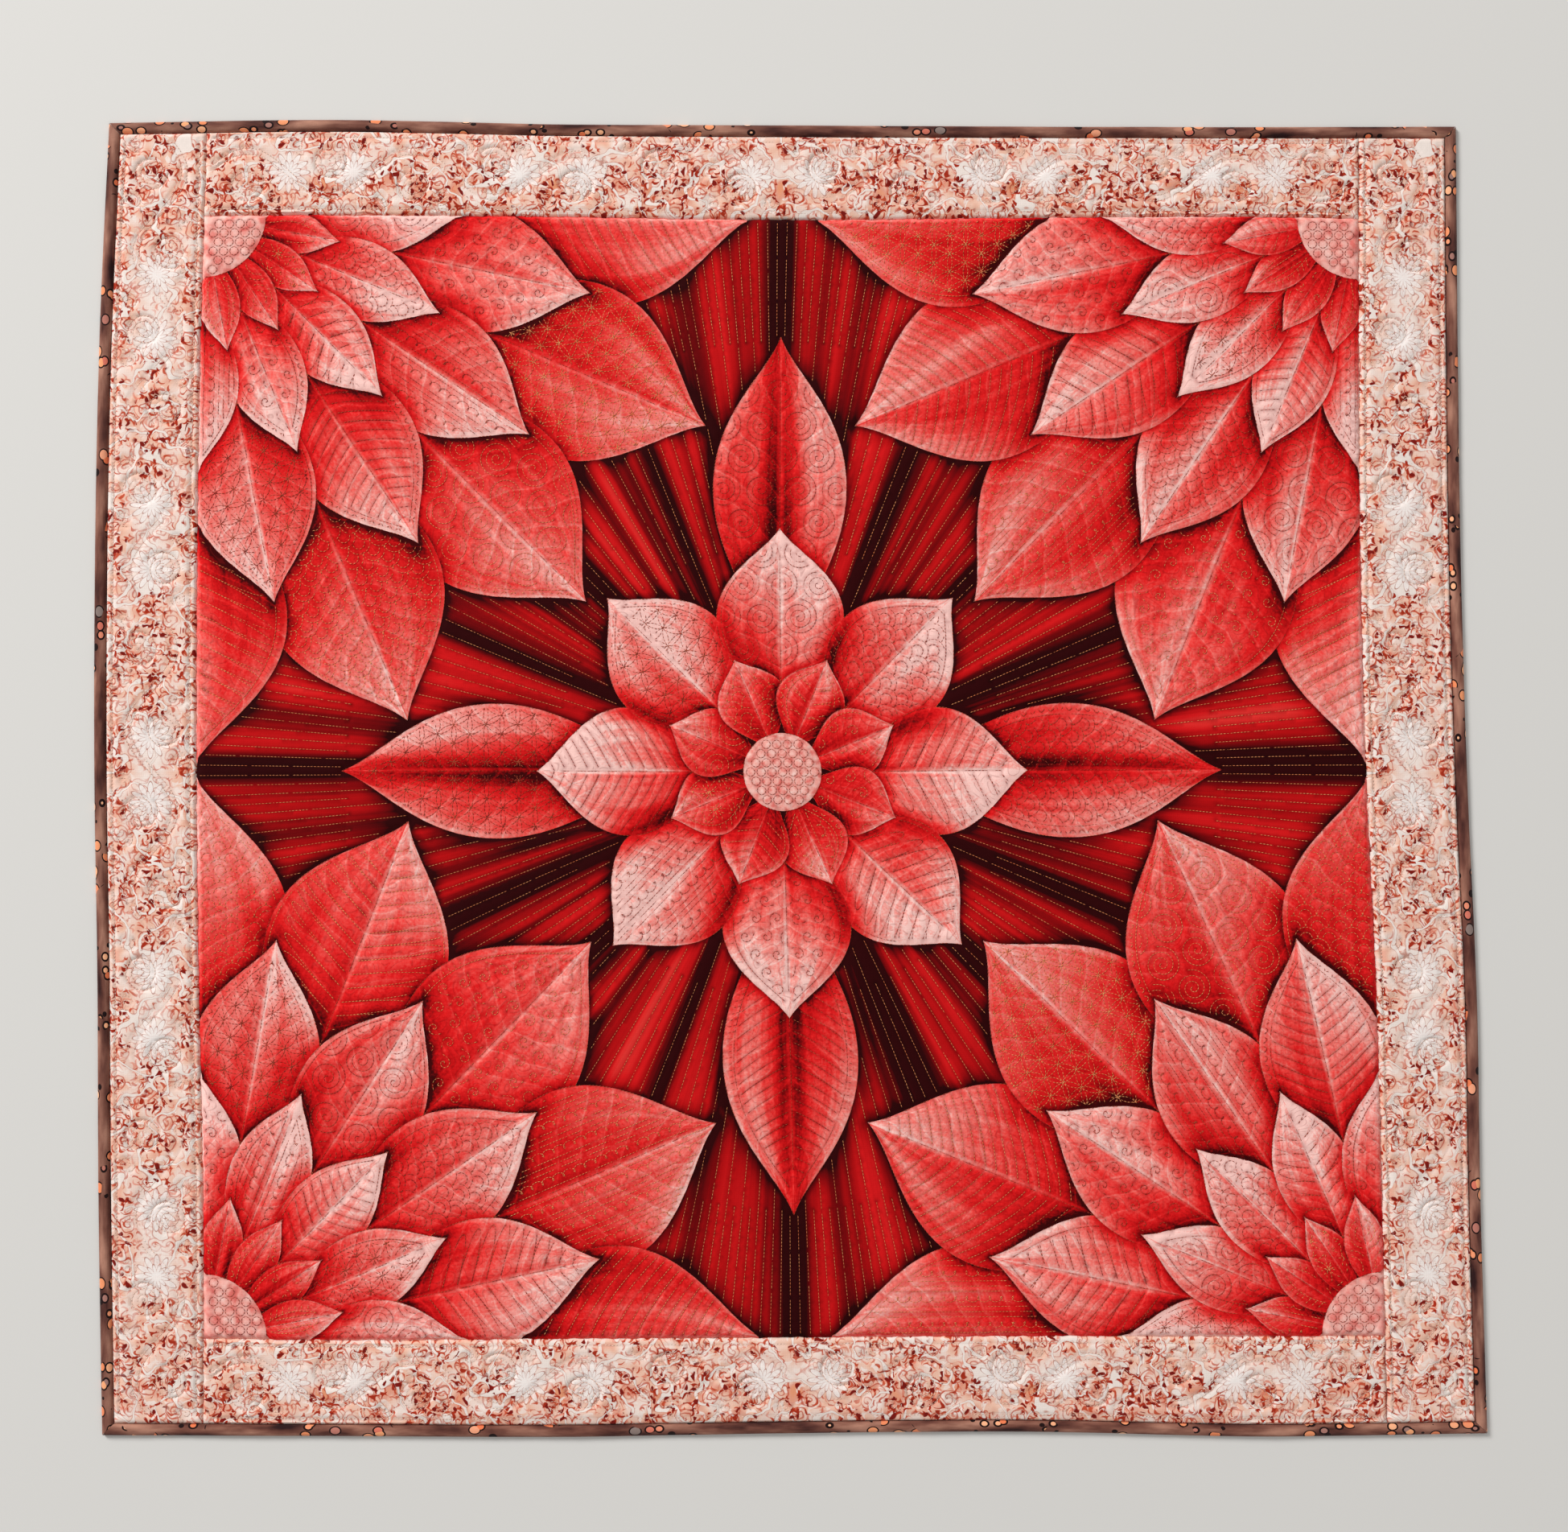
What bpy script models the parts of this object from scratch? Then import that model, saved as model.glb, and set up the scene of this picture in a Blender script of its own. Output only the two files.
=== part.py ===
"""Quilted throw, laid out flat.

A printed centre panel is framed by four border strips, of which the two at the sides run the full height. A folded
binding with mitred corners closes the edge all round. Each of these pieces is a solid of the quilt's full thickness,
flat underneath. The quilting raises four corner fans of overlapping leaves, and a star of leaves between them, on the
centre panel. Everything is drawn on a true rectangle first and then moved to where the uneven quilt really lies.
"""

import math

import bmesh
import bpy
import numpy as np
from mathutils import Vector
from mathutils.geometry import delaunay_2d_cdt, interpolate_bezier
from mathutils.kdtree import KDTree

# Driving dimensions, in metres. X is the quilt's width and Y its height as it is looked at.
PANEL_WIDTH = 1.077
PANEL_HEIGHT = 1.031
SIDE_BORDER = 0.0805
END_BORDER = 0.0777
BINDING_WIDTH = 0.011
SEAM_GAP = 0.0003

# Heights above the surface that the quilt lies on.
SEAM_HEIGHT = 0.0028
STITCH_HEIGHT = 0.0030
PANEL_LOFT = 0.0024
BORDER_LOFT = 0.0015
BINDING_HEIGHT = 0.0050

# How far from a stitched line the padding keeps rising.
PANEL_PUFF_REACH = 0.014
BORDER_PUFF_REACH = 0.025

BORDERED_WIDTH = PANEL_WIDTH + 2 * SIDE_BORDER
BORDERED_HEIGHT = PANEL_HEIGHT + 2 * END_BORDER
FULL_WIDTH = BORDERED_WIDTH + 2 * BINDING_WIDTH
FULL_HEIGHT = BORDERED_HEIGHT + 2 * BINDING_WIDTH

# The quilt isn't quite square: one diagonal is longer, and these are the shifts of its sides' ends.
LEAN_SIDEWAYS = 0.0033
LEAN_UPWARDS = 0.00275

# How far each upright line bows outwards, in millimetres, against its share of the way down.
UPRIGHT_BOWS = (
    # share, left edge, left seam, right seam, right edge
    (0.00, 0.0, 0.0, 0.0, 0.0),
    (0.17, 8.0, 5.5, -4.0, -3.0),
    (0.33, 11.0, 8.0, -7.0, -5.0),
    (0.50, 10.5, 8.0, -6.0, -4.0),
    (0.67, 6.5, 5.0, -1.0, 0.0),
    (0.83, 4.5, 0.5, 0.0, -1.0),
    (1.00, 0.0, 0.0, 0.0, 0.0),
)

# The same for each level line, against its share of the way from left to right.
LEVEL_BOWS = (
    # share, bottom edge, bottom seam, top seam, top edge
    (0.00, 0.0, 0.0, 0.0, 0.0),
    (0.17, 1.0, 3.5, 2.0, 3.5),
    (0.33, 2.0, 2.5, 1.0, 0.0),
    (0.50, -1.0, 1.5, -1.5, -0.5),
    (0.67, -2.0, 0.5, 1.0, -1.0),
    (0.83, 2.5, 1.0, 2.5, -1.0),
    (1.00, 0.0, 0.0, 0.0, 0.0),
)

# The rings of leaves, from their centre outwards. Each ring lies under the ones before it. A leaf is wide enough to
# overlap its neighbours by its fullness, and the turn is in steps from one leaf to the next.
LEAVES_A_FAN = 4
FAN_RINGS = (
    # base radius, tip radius, fullness, turn
    (0.035, 0.130, 1.16, 0.5),
    (0.070, 0.240, 1.16, 0.0),
    (0.140, 0.368, 1.14, 0.5),
    (0.235, 0.508, 1.12, 0.0),
)
LEAVES_A_STAR = 8
STAR_RINGS = (
    # base radius, tip radius, fullness, turn
    (0.026, 0.112, 1.10, 0.5),
    (0.052, 0.226, 1.00, 0.0),
)
LEAVES_A_CROSS = 4
CROSS_RING = (0.110, 0.405, 0.235, 0.0)
FAN_HEART = 0.058
STAR_HEART = 0.036

# One side of a leaf on a unit length and unit half width: base, shoulder and tip, with the curve's handles between.
LEAF_SIDE = (
    # knot, handle after it, handle before the next knot, next knot
    ((0.00, 0.14), (0.20, 0.48), (0.32, 1.00), (0.52, 1.00)),
    ((0.52, 1.00), (0.76, 1.00), (0.88, 0.20), (1.00, 0.00)),
)
SIDE_STEPS = 9
WIDEST_SHARE = 0.52
RIB_SHARE = 0.86

# Sizes of the facets.
LINE_STEP = 0.014
FINE_STEP = 0.0015
FILL_STEP = 0.021
EDGE_STEP = 0.030
CLEAR_OF_LINES = 0.0090
CLEAR_OF_SEAM = 0.0020
BINDING_STATIONS = 40

CLOTHS = {
    # name: (red, green, blue, roughness)
    "printed_panel_cotton": (0.62, 0.05, 0.05, 0.85),
    "border_cotton": (0.86, 0.62, 0.53, 0.85),
    "binding_batik": (0.17, 0.07, 0.05, 0.80),
}


def clear_scene():
    for obj in list(bpy.data.objects):
        bpy.data.objects.remove(obj)


def cloth_material(name):
    red, green, blue, roughness = CLOTHS[name]
    material = bpy.data.materials.new(name)
    material.use_nodes = True
    shader = material.node_tree.nodes["Principled BSDF"]
    shader.inputs["Base Color"].default_value = (red, green, blue, 1.0)
    shader.inputs["Roughness"].default_value = roughness
    shader.inputs["Metallic"].default_value = 0.0
    return material


# Where the uneven quilt lies


def smooth_through(shares, values, at):
    """A smooth curve through the table's values, by cubic pieces that share their slopes."""
    slopes = np.gradient(values, shares)
    at = np.clip(at, 0.0, 1.0)
    piece = np.clip(np.searchsorted(shares, at, side="right") - 1, 0, len(shares) - 2)
    span = shares[piece + 1] - shares[piece]
    t = (at - shares[piece]) / span
    before = (1 + 2 * t) * (1 - t) ** 2 * values[piece] + t * (1 - t) ** 2 * span * slopes[piece]
    after = t * t * (3 - 2 * t) * values[piece + 1] - t * t * (1 - t) * span * slopes[piece + 1]
    return before + after


def bowed(table, at, across, lines):
    """The shift of points across a set of four bowed lines, from the shifts of the two lines that they lie between."""
    rows = np.array(table)
    outwards = (-1, -1, 1, 1)
    shifts = [side * smooth_through(rows[:, 0], rows[:, k + 1] / 1000, at) for k, side in enumerate(outwards)]
    total = shifts[0]
    for k in range(3):
        share = np.clip((across - lines[k]) / (lines[k + 1] - lines[k]), 0, 1)
        total = total + share * (shifts[k + 1] - shifts[k])
    return total


def laid_out(x, y):
    """Where points of the true rectangle come to lie on the uneven quilt."""
    uprights = (-FULL_WIDTH / 2, -PANEL_WIDTH / 2, PANEL_WIDTH / 2, FULL_WIDTH / 2)
    levels = (-FULL_HEIGHT / 2, -PANEL_HEIGHT / 2, PANEL_HEIGHT / 2, FULL_HEIGHT / 2)
    aside = bowed(UPRIGHT_BOWS, 0.5 - y / FULL_HEIGHT, x, uprights)
    upwards = bowed(LEVEL_BOWS, 0.5 + x / FULL_WIDTH, y, levels)
    lean_x = -LEAN_SIDEWAYS * y / (FULL_HEIGHT / 2)
    lean_y = -LEAN_UPWARDS * x / (FULL_WIDTH / 2)
    return x + aside + lean_x, y + upwards + lean_y


# The corner fans and the star


def leaf_side():
    """One side of a leaf: its shares of the length, and its shares of the half width there."""
    points = []
    for knot, handle, handle_before, next_knot in LEAF_SIDE:
        curve = interpolate_bezier(
            Vector(knot), Vector(handle), Vector(handle_before), Vector(next_knot), SIDE_STEPS + 1
        )
        points += curve[1:] if points else curve
    side = np.array([(p.x, p.y) for p in points])
    return side[:, 0], side[:, 1]


class Leaf:
    """A leaf that points away from a centre, and the leaves that it is tucked under."""

    shares, widths = leaf_side()

    def __init__(self, centre, angle, base, tip, half_width):
        self.centre = np.array(centre)
        self.out = np.array((math.cos(angle), math.sin(angle)))
        self.side = np.array((-math.sin(angle), math.cos(angle)))
        self.base, self.tip, self.half_width = base, tip, half_width
        self.under = []

    def holds(self, points):
        """Which of the points lie inside the leaf's outline."""
        away = points - self.centre
        share = (away @ self.out - self.base) / (self.tip - self.base)
        half = self.half_width * np.interp(share, self.shares, self.widths)
        return (share > 0) & (share < 1) & (np.abs(away @ self.side) < half)

    def lines(self):
        """The two sides from base to tip, and the rib between them."""
        along = self.base + self.shares * (self.tip - self.base)
        half = self.half_width * self.widths
        rib_end = self.base + RIB_SHARE * (self.tip - self.base)
        rib = self.centre + np.outer((self.base, rib_end), self.out)
        sides = [self.centre + np.outer(along, self.out) + np.outer(way * half, self.side) for way in (-1, 1)]
        return sides + [rib]

    def hidden(self, points):
        """Which of the points lie under a leaf that covers this one."""
        covered = np.zeros(len(points), bool)
        for upper in self.under:
            covered |= upper.holds(points)
        return covered


def rings_of_leaves(centre, first_angle, rings, step, leaves_a_ring):
    """Rings of leaves round a centre. Each leaf lies under the inner rings and under one neighbour of its own ring."""
    inner = []
    for base, tip, fullness, turn in rings:
        widest = base + WIDEST_SHARE * (tip - base)
        half_width = fullness * widest * math.tan(step / 2)
        count = leaves_a_ring(turn)
        ring = [Leaf(centre, first_angle + (k + turn) * step, base, tip, half_width) for k in range(count)]
        for k, leaf in enumerate(ring):
            leaf.under = inner + [ring[k - 1]]
        inner = inner + ring
    return inner


def fan_leaves():
    """The leaves of the four corner fans. A ring that isn't turned has a leaf along each side of its corner."""
    leaves = []
    step = math.pi / 2 / LEAVES_A_FAN
    for corner in range(4):
        across = 1 if corner in (0, 3) else -1
        upwards = 1 if corner in (0, 1) else -1
        centre = (across * PANEL_WIDTH / 2, upwards * PANEL_HEIGHT / 2)
        first_angle = math.pi + corner * math.pi / 2
        leaves += rings_of_leaves(centre, first_angle, FAN_RINGS, step, lambda turn: LEAVES_A_FAN + (turn == 0))
    return leaves


def star_leaves():
    """The leaves of the star in the middle, with a cross of four long ones under it."""
    leaves = rings_of_leaves((0, 0), 0, STAR_RINGS, 2 * math.pi / LEAVES_A_STAR, lambda turn: LEAVES_A_STAR)
    cross = rings_of_leaves((0, 0), 0, (CROSS_RING,), 2 * math.pi / LEAVES_A_CROSS, lambda turn: LEAVES_A_CROSS)
    for leaf in cross:
        leaf.under = list(leaves)
    return leaves + cross


def heart_lines():
    """The round hearts: a full one in the middle of the star and a quarter in each corner."""
    lines = []
    turn = np.linspace(0, 2 * math.pi, 17)
    lines.append(STAR_HEART * np.column_stack((np.cos(turn), np.sin(turn))))
    for corner in range(4):
        across = 1 if corner in (0, 3) else -1
        upwards = 1 if corner in (0, 1) else -1
        quarter = math.pi + corner * math.pi / 2 + np.linspace(0.03, math.pi / 2 - 0.03, 7)
        centre = np.array((across * PANEL_WIDTH / 2, upwards * PANEL_HEIGHT / 2))
        lines.append(centre + FAN_HEART * np.column_stack((np.cos(quarter), np.sin(quarter))))
    return lines


def evenly_spaced(line, step):
    """The line's points, moved to even steps along it."""
    lengths = np.concatenate(((0.0,), np.cumsum(np.linalg.norm(np.diff(line, axis=0), axis=1))))
    count = max(2, int(round(lengths[-1] / step)) + 1)
    at = np.linspace(0, lengths[-1], count)
    return np.column_stack((np.interp(at, lengths, line[:, 0]), np.interp(at, lengths, line[:, 1])))


def visible_runs(leaf, line, heart):
    """The stretches of a leaf's line that no upper leaf or heart covers and that lie within the panel."""
    line = evenly_spaced(line, FINE_STEP)
    half_size = np.array((PANEL_WIDTH / 2, PANEL_HEIGHT / 2)) - CLEAR_OF_SEAM
    inside = (np.abs(line) < half_size).all(axis=1)
    clear_of_heart = np.linalg.norm(line - leaf.centre, axis=1) > heart
    shown = inside & clear_of_heart & ~leaf.hidden(line)
    runs, start = [], None
    for k, visible in enumerate(list(shown) + [False]):
        if visible and start is None:
            start = k
        elif not visible and start is not None:
            if (k - start) * FINE_STEP > LINE_STEP / 2:
                runs.append(line[start:k])
            start = None
    return runs


def quilting_lines():
    """Every stitched line that the solid shows: the leaves' sides and ribs, and the hearts."""
    lines = heart_lines()
    for heart, leaves in ((FAN_HEART, fan_leaves()), (STAR_HEART, star_leaves())):
        for leaf in leaves:
            for line in leaf.lines():
                for run in visible_runs(leaf, line, heart):
                    lines.append(evenly_spaced(run, LINE_STEP))
    return lines


# Sheets of quilted cloth


def near(points, lines, step):
    """The distance from each point to the nearest of the lines, taken at even steps along them."""
    samples = np.vstack([evenly_spaced(line, step) for line in lines])
    tree = KDTree(len(samples))
    for k, (x, y) in enumerate(samples):
        tree.insert((x, y, 0), k)
    tree.balance()
    return np.array([tree.find((x, y, 0))[2] for x, y in points])


def puff(distance, reach):
    """How full the padding is at a distance from the stitching, from 0 to 1, in a round arc."""
    short = 1 - np.minimum(distance, reach) / reach
    return np.sqrt(1 - short**2)


def rectangle_edge(left, right, bottom, top, step):
    """The points of a rectangle's edge at even steps, going round once, without the first again."""
    corners = ((left, bottom), (right, bottom), (right, top), (left, top), (left, bottom))
    points = []
    for start, end in zip(corners[:-1], corners[1:]):
        side = evenly_spaced(np.array((start, end), float), step)
        points.append(side[:-1])
    return np.vstack(points)


def fill_points(left, right, bottom, top, step, lines, clear):
    """Staggered rows of points that keep clear of the stitched lines and of the edge."""
    rows = []
    row_step = step * math.sqrt(3) / 2
    row_count = int((top - bottom) / row_step)
    for row in range(1, row_count):
        count = int((right - left) / step)
        x = left + (np.arange(1, count) + 0.5 * (row % 2)) * (right - left) / count
        rows.append(np.column_stack((x, np.full(len(x), bottom + row * (top - bottom) / row_count))))
    points = np.vstack(rows)
    inside = (points[:, 0] < right - step / 3) & (points[:, 0] > left + step / 3)
    points = points[inside]
    if lines:
        points = points[near(points, lines, clear / 2) > clear]
    return points


def sheet_top(bm, edge, lines, fill):
    """Triangles over a rectangle, with corners along its edge and along every stitched line."""
    points = [Vector(p) for p in edge]
    links = [(k, (k + 1) % len(edge)) for k in range(len(edge))]
    for line in lines:
        first = len(points)
        points += [Vector(p) for p in line]
        links += [(first + k, first + k + 1) for k in range(len(line) - 1)]
    points += [Vector(p) for p in fill]
    flat, _, faces, _, _, _ = delaunay_2d_cdt(points, links, [], 1, SEAM_GAP)
    corners = [bm.verts.new((p.x, p.y, 0)) for p in flat]
    for face in faces:
        bm.faces.new([corners[k] for k in face])


def close_below(bm):
    """Drops walls from the sheet's edge to the surface that it lies on, and closes the underside."""
    rim = [edge for edge in bm.edges if edge.is_boundary]
    dropped = bmesh.ops.extrude_edge_only(bm, edges=rim)["geom"]
    for part in dropped:
        if isinstance(part, bmesh.types.BMVert):
            part.co.z = 0.0
    under = [part for part in dropped if isinstance(part, bmesh.types.BMEdge)]
    bmesh.ops.triangle_fill(bm, use_beauty=True, edges=under, normal=(0, 0, -1))
    bmesh.ops.recalc_face_normals(bm, faces=bm.faces)


def finish_piece(name, bm, cloth):
    """Moves the piece to where it lies on the uneven quilt and makes its object."""
    x, y = laid_out(*np.array([v.co.xy for v in bm.verts]).T)
    for vert, new_x, new_y in zip(bm.verts, x, y):
        vert.co.x, vert.co.y = new_x, new_y
    mesh = bpy.data.meshes.new(name)
    bm.to_mesh(mesh)
    bm.free()
    mesh.materials.append(cloth)
    mesh.shade_smooth()
    mesh.set_sharp_from_angle(angle=math.radians(40))
    obj = bpy.data.objects.new(name, mesh)
    bpy.context.scene.collection.objects.link(obj)
    return obj


def centre_panel(cloth):
    """The printed panel, raised between the stitched lines of its leaves."""
    half_width, half_height = (PANEL_WIDTH - SEAM_GAP) / 2, (PANEL_HEIGHT - SEAM_GAP) / 2
    box = (-half_width, half_width, -half_height, half_height)
    lines = quilting_lines()
    edge = rectangle_edge(*box, EDGE_STEP)
    fill = fill_points(*box, FILL_STEP, lines, CLEAR_OF_LINES)
    bm = bmesh.new()
    sheet_top(bm, edge, lines, fill)
    flat = np.array([v.co.xy for v in bm.verts])
    seam = [np.vstack((edge, edge[:1]))]
    height = STITCH_HEIGHT + PANEL_LOFT * puff(near(flat, lines + seam, LINE_STEP / 4), PANEL_PUFF_REACH)
    for vert, z in zip(bm.verts, height):
        vert.co.z = z
    close_below(bm)
    return finish_piece("centre_panel", bm, cloth)


def border_strip(name, left, right, bottom, top, cloth):
    """One border strip, crowned between its seams."""
    half_gap = SEAM_GAP / 2
    box = (left + half_gap, right - half_gap, bottom + half_gap, top - half_gap)
    short_side = min(box[1] - box[0], box[3] - box[2])
    bm = bmesh.new()
    edge = rectangle_edge(*box, EDGE_STEP)
    fill = fill_points(*box, short_side / 4, [], 0)
    sheet_top(bm, edge, [], fill)
    for vert in bm.verts:
        x, y = vert.co.xy
        inwards = min(x - box[0], box[1] - x, y - box[2], box[3] - y)
        vert.co.z = SEAM_HEIGHT + BORDER_LOFT * float(puff(max(inwards, 0.0), BORDER_PUFF_REACH))
    close_below(bm)
    return finish_piece(name, bm, cloth)


def binding_section():
    """The folded binding's section: distance out from its seam, and height, from the seam round to the underside."""
    seam = SEAM_GAP / 2
    crown = [(0.30, 0.94), (0.52, 1.00), (0.74, 0.95), (0.90, 0.78), (0.985, 0.50), (0.985, 0.20), (0.93, 0.0)]
    over = [(out * BINDING_WIDTH, up * BINDING_HEIGHT) for out, up in crown]
    return [(seam, 0.0), (seam, SEAM_HEIGHT), (0.0014, 0.0039)] + over


def binding_strip(name, quarter_turns, cloth):
    """One side of the binding, mitred at both ends."""
    upright = quarter_turns % 2 == 1
    half_length = (BORDERED_HEIGHT if upright else BORDERED_WIDTH) / 2
    seam_place = (BORDERED_WIDTH if upright else BORDERED_HEIGHT) / 2
    mitre_gap = SEAM_GAP / math.sqrt(2)
    bm = bmesh.new()
    section = [bm.verts.new((-(half_length + out - mitre_gap), out, up)) for out, up in binding_section()]
    start = end = bm.faces.new(section)
    for station in range(1, BINDING_STATIONS + 1):
        made = bmesh.ops.extrude_face_region(bm, geom=[end])["geom"]
        if end is not start:
            bm.faces.remove(end)
        end = next(part for part in made if isinstance(part, bmesh.types.BMFace))
        share = 2 * station / BINDING_STATIONS - 1
        for vert in end.verts:
            vert.co.x = share * (half_length + vert.co.y - mitre_gap)
    turn = quarter_turns * math.pi / 2
    for vert in bm.verts:
        along, out = vert.co.x, seam_place + vert.co.y
        vert.co.x = along * math.cos(turn) - out * math.sin(turn)
        vert.co.y = along * math.sin(turn) + out * math.cos(turn)
    bmesh.ops.recalc_face_normals(bm, faces=bm.faces)
    return finish_piece(name, bm, cloth)


def centre_on_origin(pieces):
    """Moves all pieces so that the middle of their box lies over the origin."""
    corners = np.array([v.co.xy for piece in pieces for v in piece.data.vertices])
    middle = (corners.min(0) + corners.max(0)) / 2
    for piece in pieces:
        for vert in piece.data.vertices:
            vert.co.x -= middle[0]
            vert.co.y -= middle[1]


def build_throw():
    clear_scene()
    panel_cloth = cloth_material("printed_panel_cotton")
    border_cloth = cloth_material("border_cotton")
    binding_cloth = cloth_material("binding_batik")
    inner_x, inner_y = PANEL_WIDTH / 2, PANEL_HEIGHT / 2
    outer_x, outer_y = BORDERED_WIDTH / 2, BORDERED_HEIGHT / 2
    pieces = [
        centre_panel(panel_cloth),
        border_strip("border_left", -outer_x, -inner_x, -outer_y, outer_y, border_cloth),
        border_strip("border_right", inner_x, outer_x, -outer_y, outer_y, border_cloth),
        border_strip("border_top", -inner_x, inner_x, inner_y, outer_y, border_cloth),
        border_strip("border_bottom", -inner_x, inner_x, -outer_y, -inner_y, border_cloth),
    ]
    for quarter_turns, side in enumerate(("top", "left", "bottom", "right")):
        pieces.append(binding_strip("binding_" + side, quarter_turns, binding_cloth))
    centre_on_origin(pieces)


build_throw()
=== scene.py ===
"""Dresses a quilted throw that lies flat: a printed panel of leaves, patterned borders and a batik binding.

Each piece is a closed sheet of padded cloth, puffed up between its lines of quilting, and the stitches lie in
those lines as short lengths of thread. Everything is drawn on a true rectangle first and then moved to where
the uneven quilt lies, as the solids are. All lengths are in metres unless a name says otherwise.
"""

import math
from functools import partial

import bmesh
import bpy
import numpy as np
from mathutils import Matrix, Vector
from mathutils.geometry import delaunay_2d_cdt, interpolate_bezier
from mathutils.kdtree import KDTree


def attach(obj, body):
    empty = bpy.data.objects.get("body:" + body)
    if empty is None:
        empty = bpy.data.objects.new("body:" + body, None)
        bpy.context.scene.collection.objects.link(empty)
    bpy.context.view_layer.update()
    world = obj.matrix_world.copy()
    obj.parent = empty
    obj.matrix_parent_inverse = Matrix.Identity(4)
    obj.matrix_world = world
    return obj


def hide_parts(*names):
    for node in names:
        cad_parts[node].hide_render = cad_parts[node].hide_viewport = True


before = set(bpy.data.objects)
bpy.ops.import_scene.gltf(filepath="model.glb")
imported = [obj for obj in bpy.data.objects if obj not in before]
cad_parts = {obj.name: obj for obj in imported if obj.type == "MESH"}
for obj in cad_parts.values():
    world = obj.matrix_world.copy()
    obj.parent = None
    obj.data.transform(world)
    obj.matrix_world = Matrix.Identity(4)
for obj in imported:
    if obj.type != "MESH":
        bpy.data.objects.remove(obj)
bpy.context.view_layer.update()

# Driving dimensions, as the solids have them.
PANEL_WIDTH = 1.077
PANEL_HEIGHT = 1.031
SIDE_BORDER = 0.0805
END_BORDER = 0.0777
BINDING_WIDTH = 0.011
SEAM_GAP = 0.0003
BORDERED_WIDTH = PANEL_WIDTH + 2 * SIDE_BORDER
BORDERED_HEIGHT = PANEL_HEIGHT + 2 * END_BORDER
FULL_WIDTH = BORDERED_WIDTH + 2 * BINDING_WIDTH
FULL_HEIGHT = BORDERED_HEIGHT + 2 * BINDING_WIDTH
BINDING_SECTION = (
    # share of the binding's width out from its seam, share of its height
    (0.05, 0.42),
    (0.07, 0.62),
    (0.16, 0.80),
    (0.30, 0.94),
    (0.45, 1.00),
    (0.60, 1.00),
    (0.74, 0.95),
    (0.86, 0.83),
    (0.95, 0.64),
    (0.985, 0.42),
    (0.985, 0.20),
    (0.93, 0.0),
)

# Heights above the surface that the quilt lies on.
SEAM_HEIGHT = 0.0021
STITCH_HEIGHT = 0.0029
BINDING_HEIGHT = 0.0050

# How far the padding rises above its stitches, and how far the whole quilt swells.
SMALL_LOFT = 0.0010
LARGE_LOFT = 0.0013
BORDER_LOFT = 0.0008
SWELL = 0.0003

# How far from a stitched line the padding keeps rising, between fine fillings and between main lines. Then
# how far a seam draws the cloth down, and how far the shade of a crease reaches.
SMALL_REACH = 0.0050
LARGE_REACH = 0.0180
SEAM_REACH = 0.0040
CREASE_REACH = 0.0022

# The small gathers along the panel's seams, how far they reach into the cloth, and the waves in them.
RIPPLE = 0.00035
RIPPLE_REACH = 0.009
GATHERS = (
    # radians a metre, strength, start
    (430, 1.0, 0.0),
    (275, 0.7, 1.0),
    (101, 0.6, 2.0),
)

# The waves of a quilt that doesn't lie quite level: two slanting ones, and two that are multiplied.
SWELLS = (
    # radians a metre across, radians a metre upwards, start
    (29, 17, 0.0),
    (-41, 23, 1.3),
    (61, 0, 0.4),
    (0, 53, 2.0),
)

# How far the quilt's corners lean aside and upwards.
LEAN_SIDEWAYS = 0.0033
LEAN_UPWARDS = 0.00275

# How far each upright line bows outwards, in millimetres, against its share of the way down.
UPRIGHT_BOWS = (
    # share, left edge, left seam, right seam, right edge
    (0.00, 0.0, 0.0, 0.0, 0.0),
    (0.17, 8.0, 5.5, -4.0, -3.0),
    (0.33, 11.0, 8.0, -7.0, -5.0),
    (0.50, 10.5, 8.0, -6.0, -4.0),
    (0.67, 6.5, 5.0, -1.0, 0.0),
    (0.83, 4.5, 0.5, 0.0, -1.0),
    (1.00, 0.0, 0.0, 0.0, 0.0),
)

# The same for each level line, against its share of the way from left to right.
LEVEL_BOWS = (
    # share, bottom edge, bottom seam, top seam, top edge
    (0.00, 0.0, 0.0, 0.0, 0.0),
    (0.17, 1.0, 3.5, 2.0, 3.5),
    (0.33, 2.0, 2.5, 1.0, 0.0),
    (0.50, -1.0, 1.5, -1.5, -0.5),
    (0.67, -2.0, 0.5, 1.0, -1.0),
    (0.83, 2.5, 1.0, 2.5, -1.0),
    (1.00, 0.0, 0.0, 0.0, 0.0),
)

# The rings of leaves, from their centre outwards, as the solids have them. The redness is the print's, from a
# pale leaf to a red one. A turn of 0.5 sets a ring's leaves between those of a ring without one.
LEAVES_A_FAN = 4
FAN_RINGS = (
    # base radius, tip radius, fullness, turn, redness
    (0.035, 0.130, 1.16, 0.5, 0.75),
    (0.070, 0.240, 1.16, 0.0, 0.05),
    (0.140, 0.368, 1.14, 0.5, 0.55),
    (0.235, 0.508, 1.12, 0.0, 0.90),
)
LEAVES_A_STAR = 8
STAR_RINGS = (
    # base radius, tip radius, fullness, turn, redness
    (0.026, 0.112, 1.10, 0.5, 0.85),
    (0.052, 0.226, 1.00, 0.0, 0.05),
)
LEAVES_A_CROSS = 4
CROSS_RING = (0.110, 0.405, 0.235, 0.0, 0.55)
FAN_HEART = 0.058
STAR_HEART = 0.036

# A leaf's side, as two curves in shares of its length and of its half width, and how far up its rib goes.
LEAF_SIDE = (
    # knot, handle after it, handle before the next knot, next knot
    ((0.00, 0.14), (0.20, 0.48), (0.32, 1.00), (0.52, 1.00)),
    ((0.52, 1.00), (0.76, 1.00), (0.88, 0.20), (1.00, 0.00)),
)
SIDE_STEPS = 16
WIDEST_SHARE = 0.52
RIB_SHARE = 0.86

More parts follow.
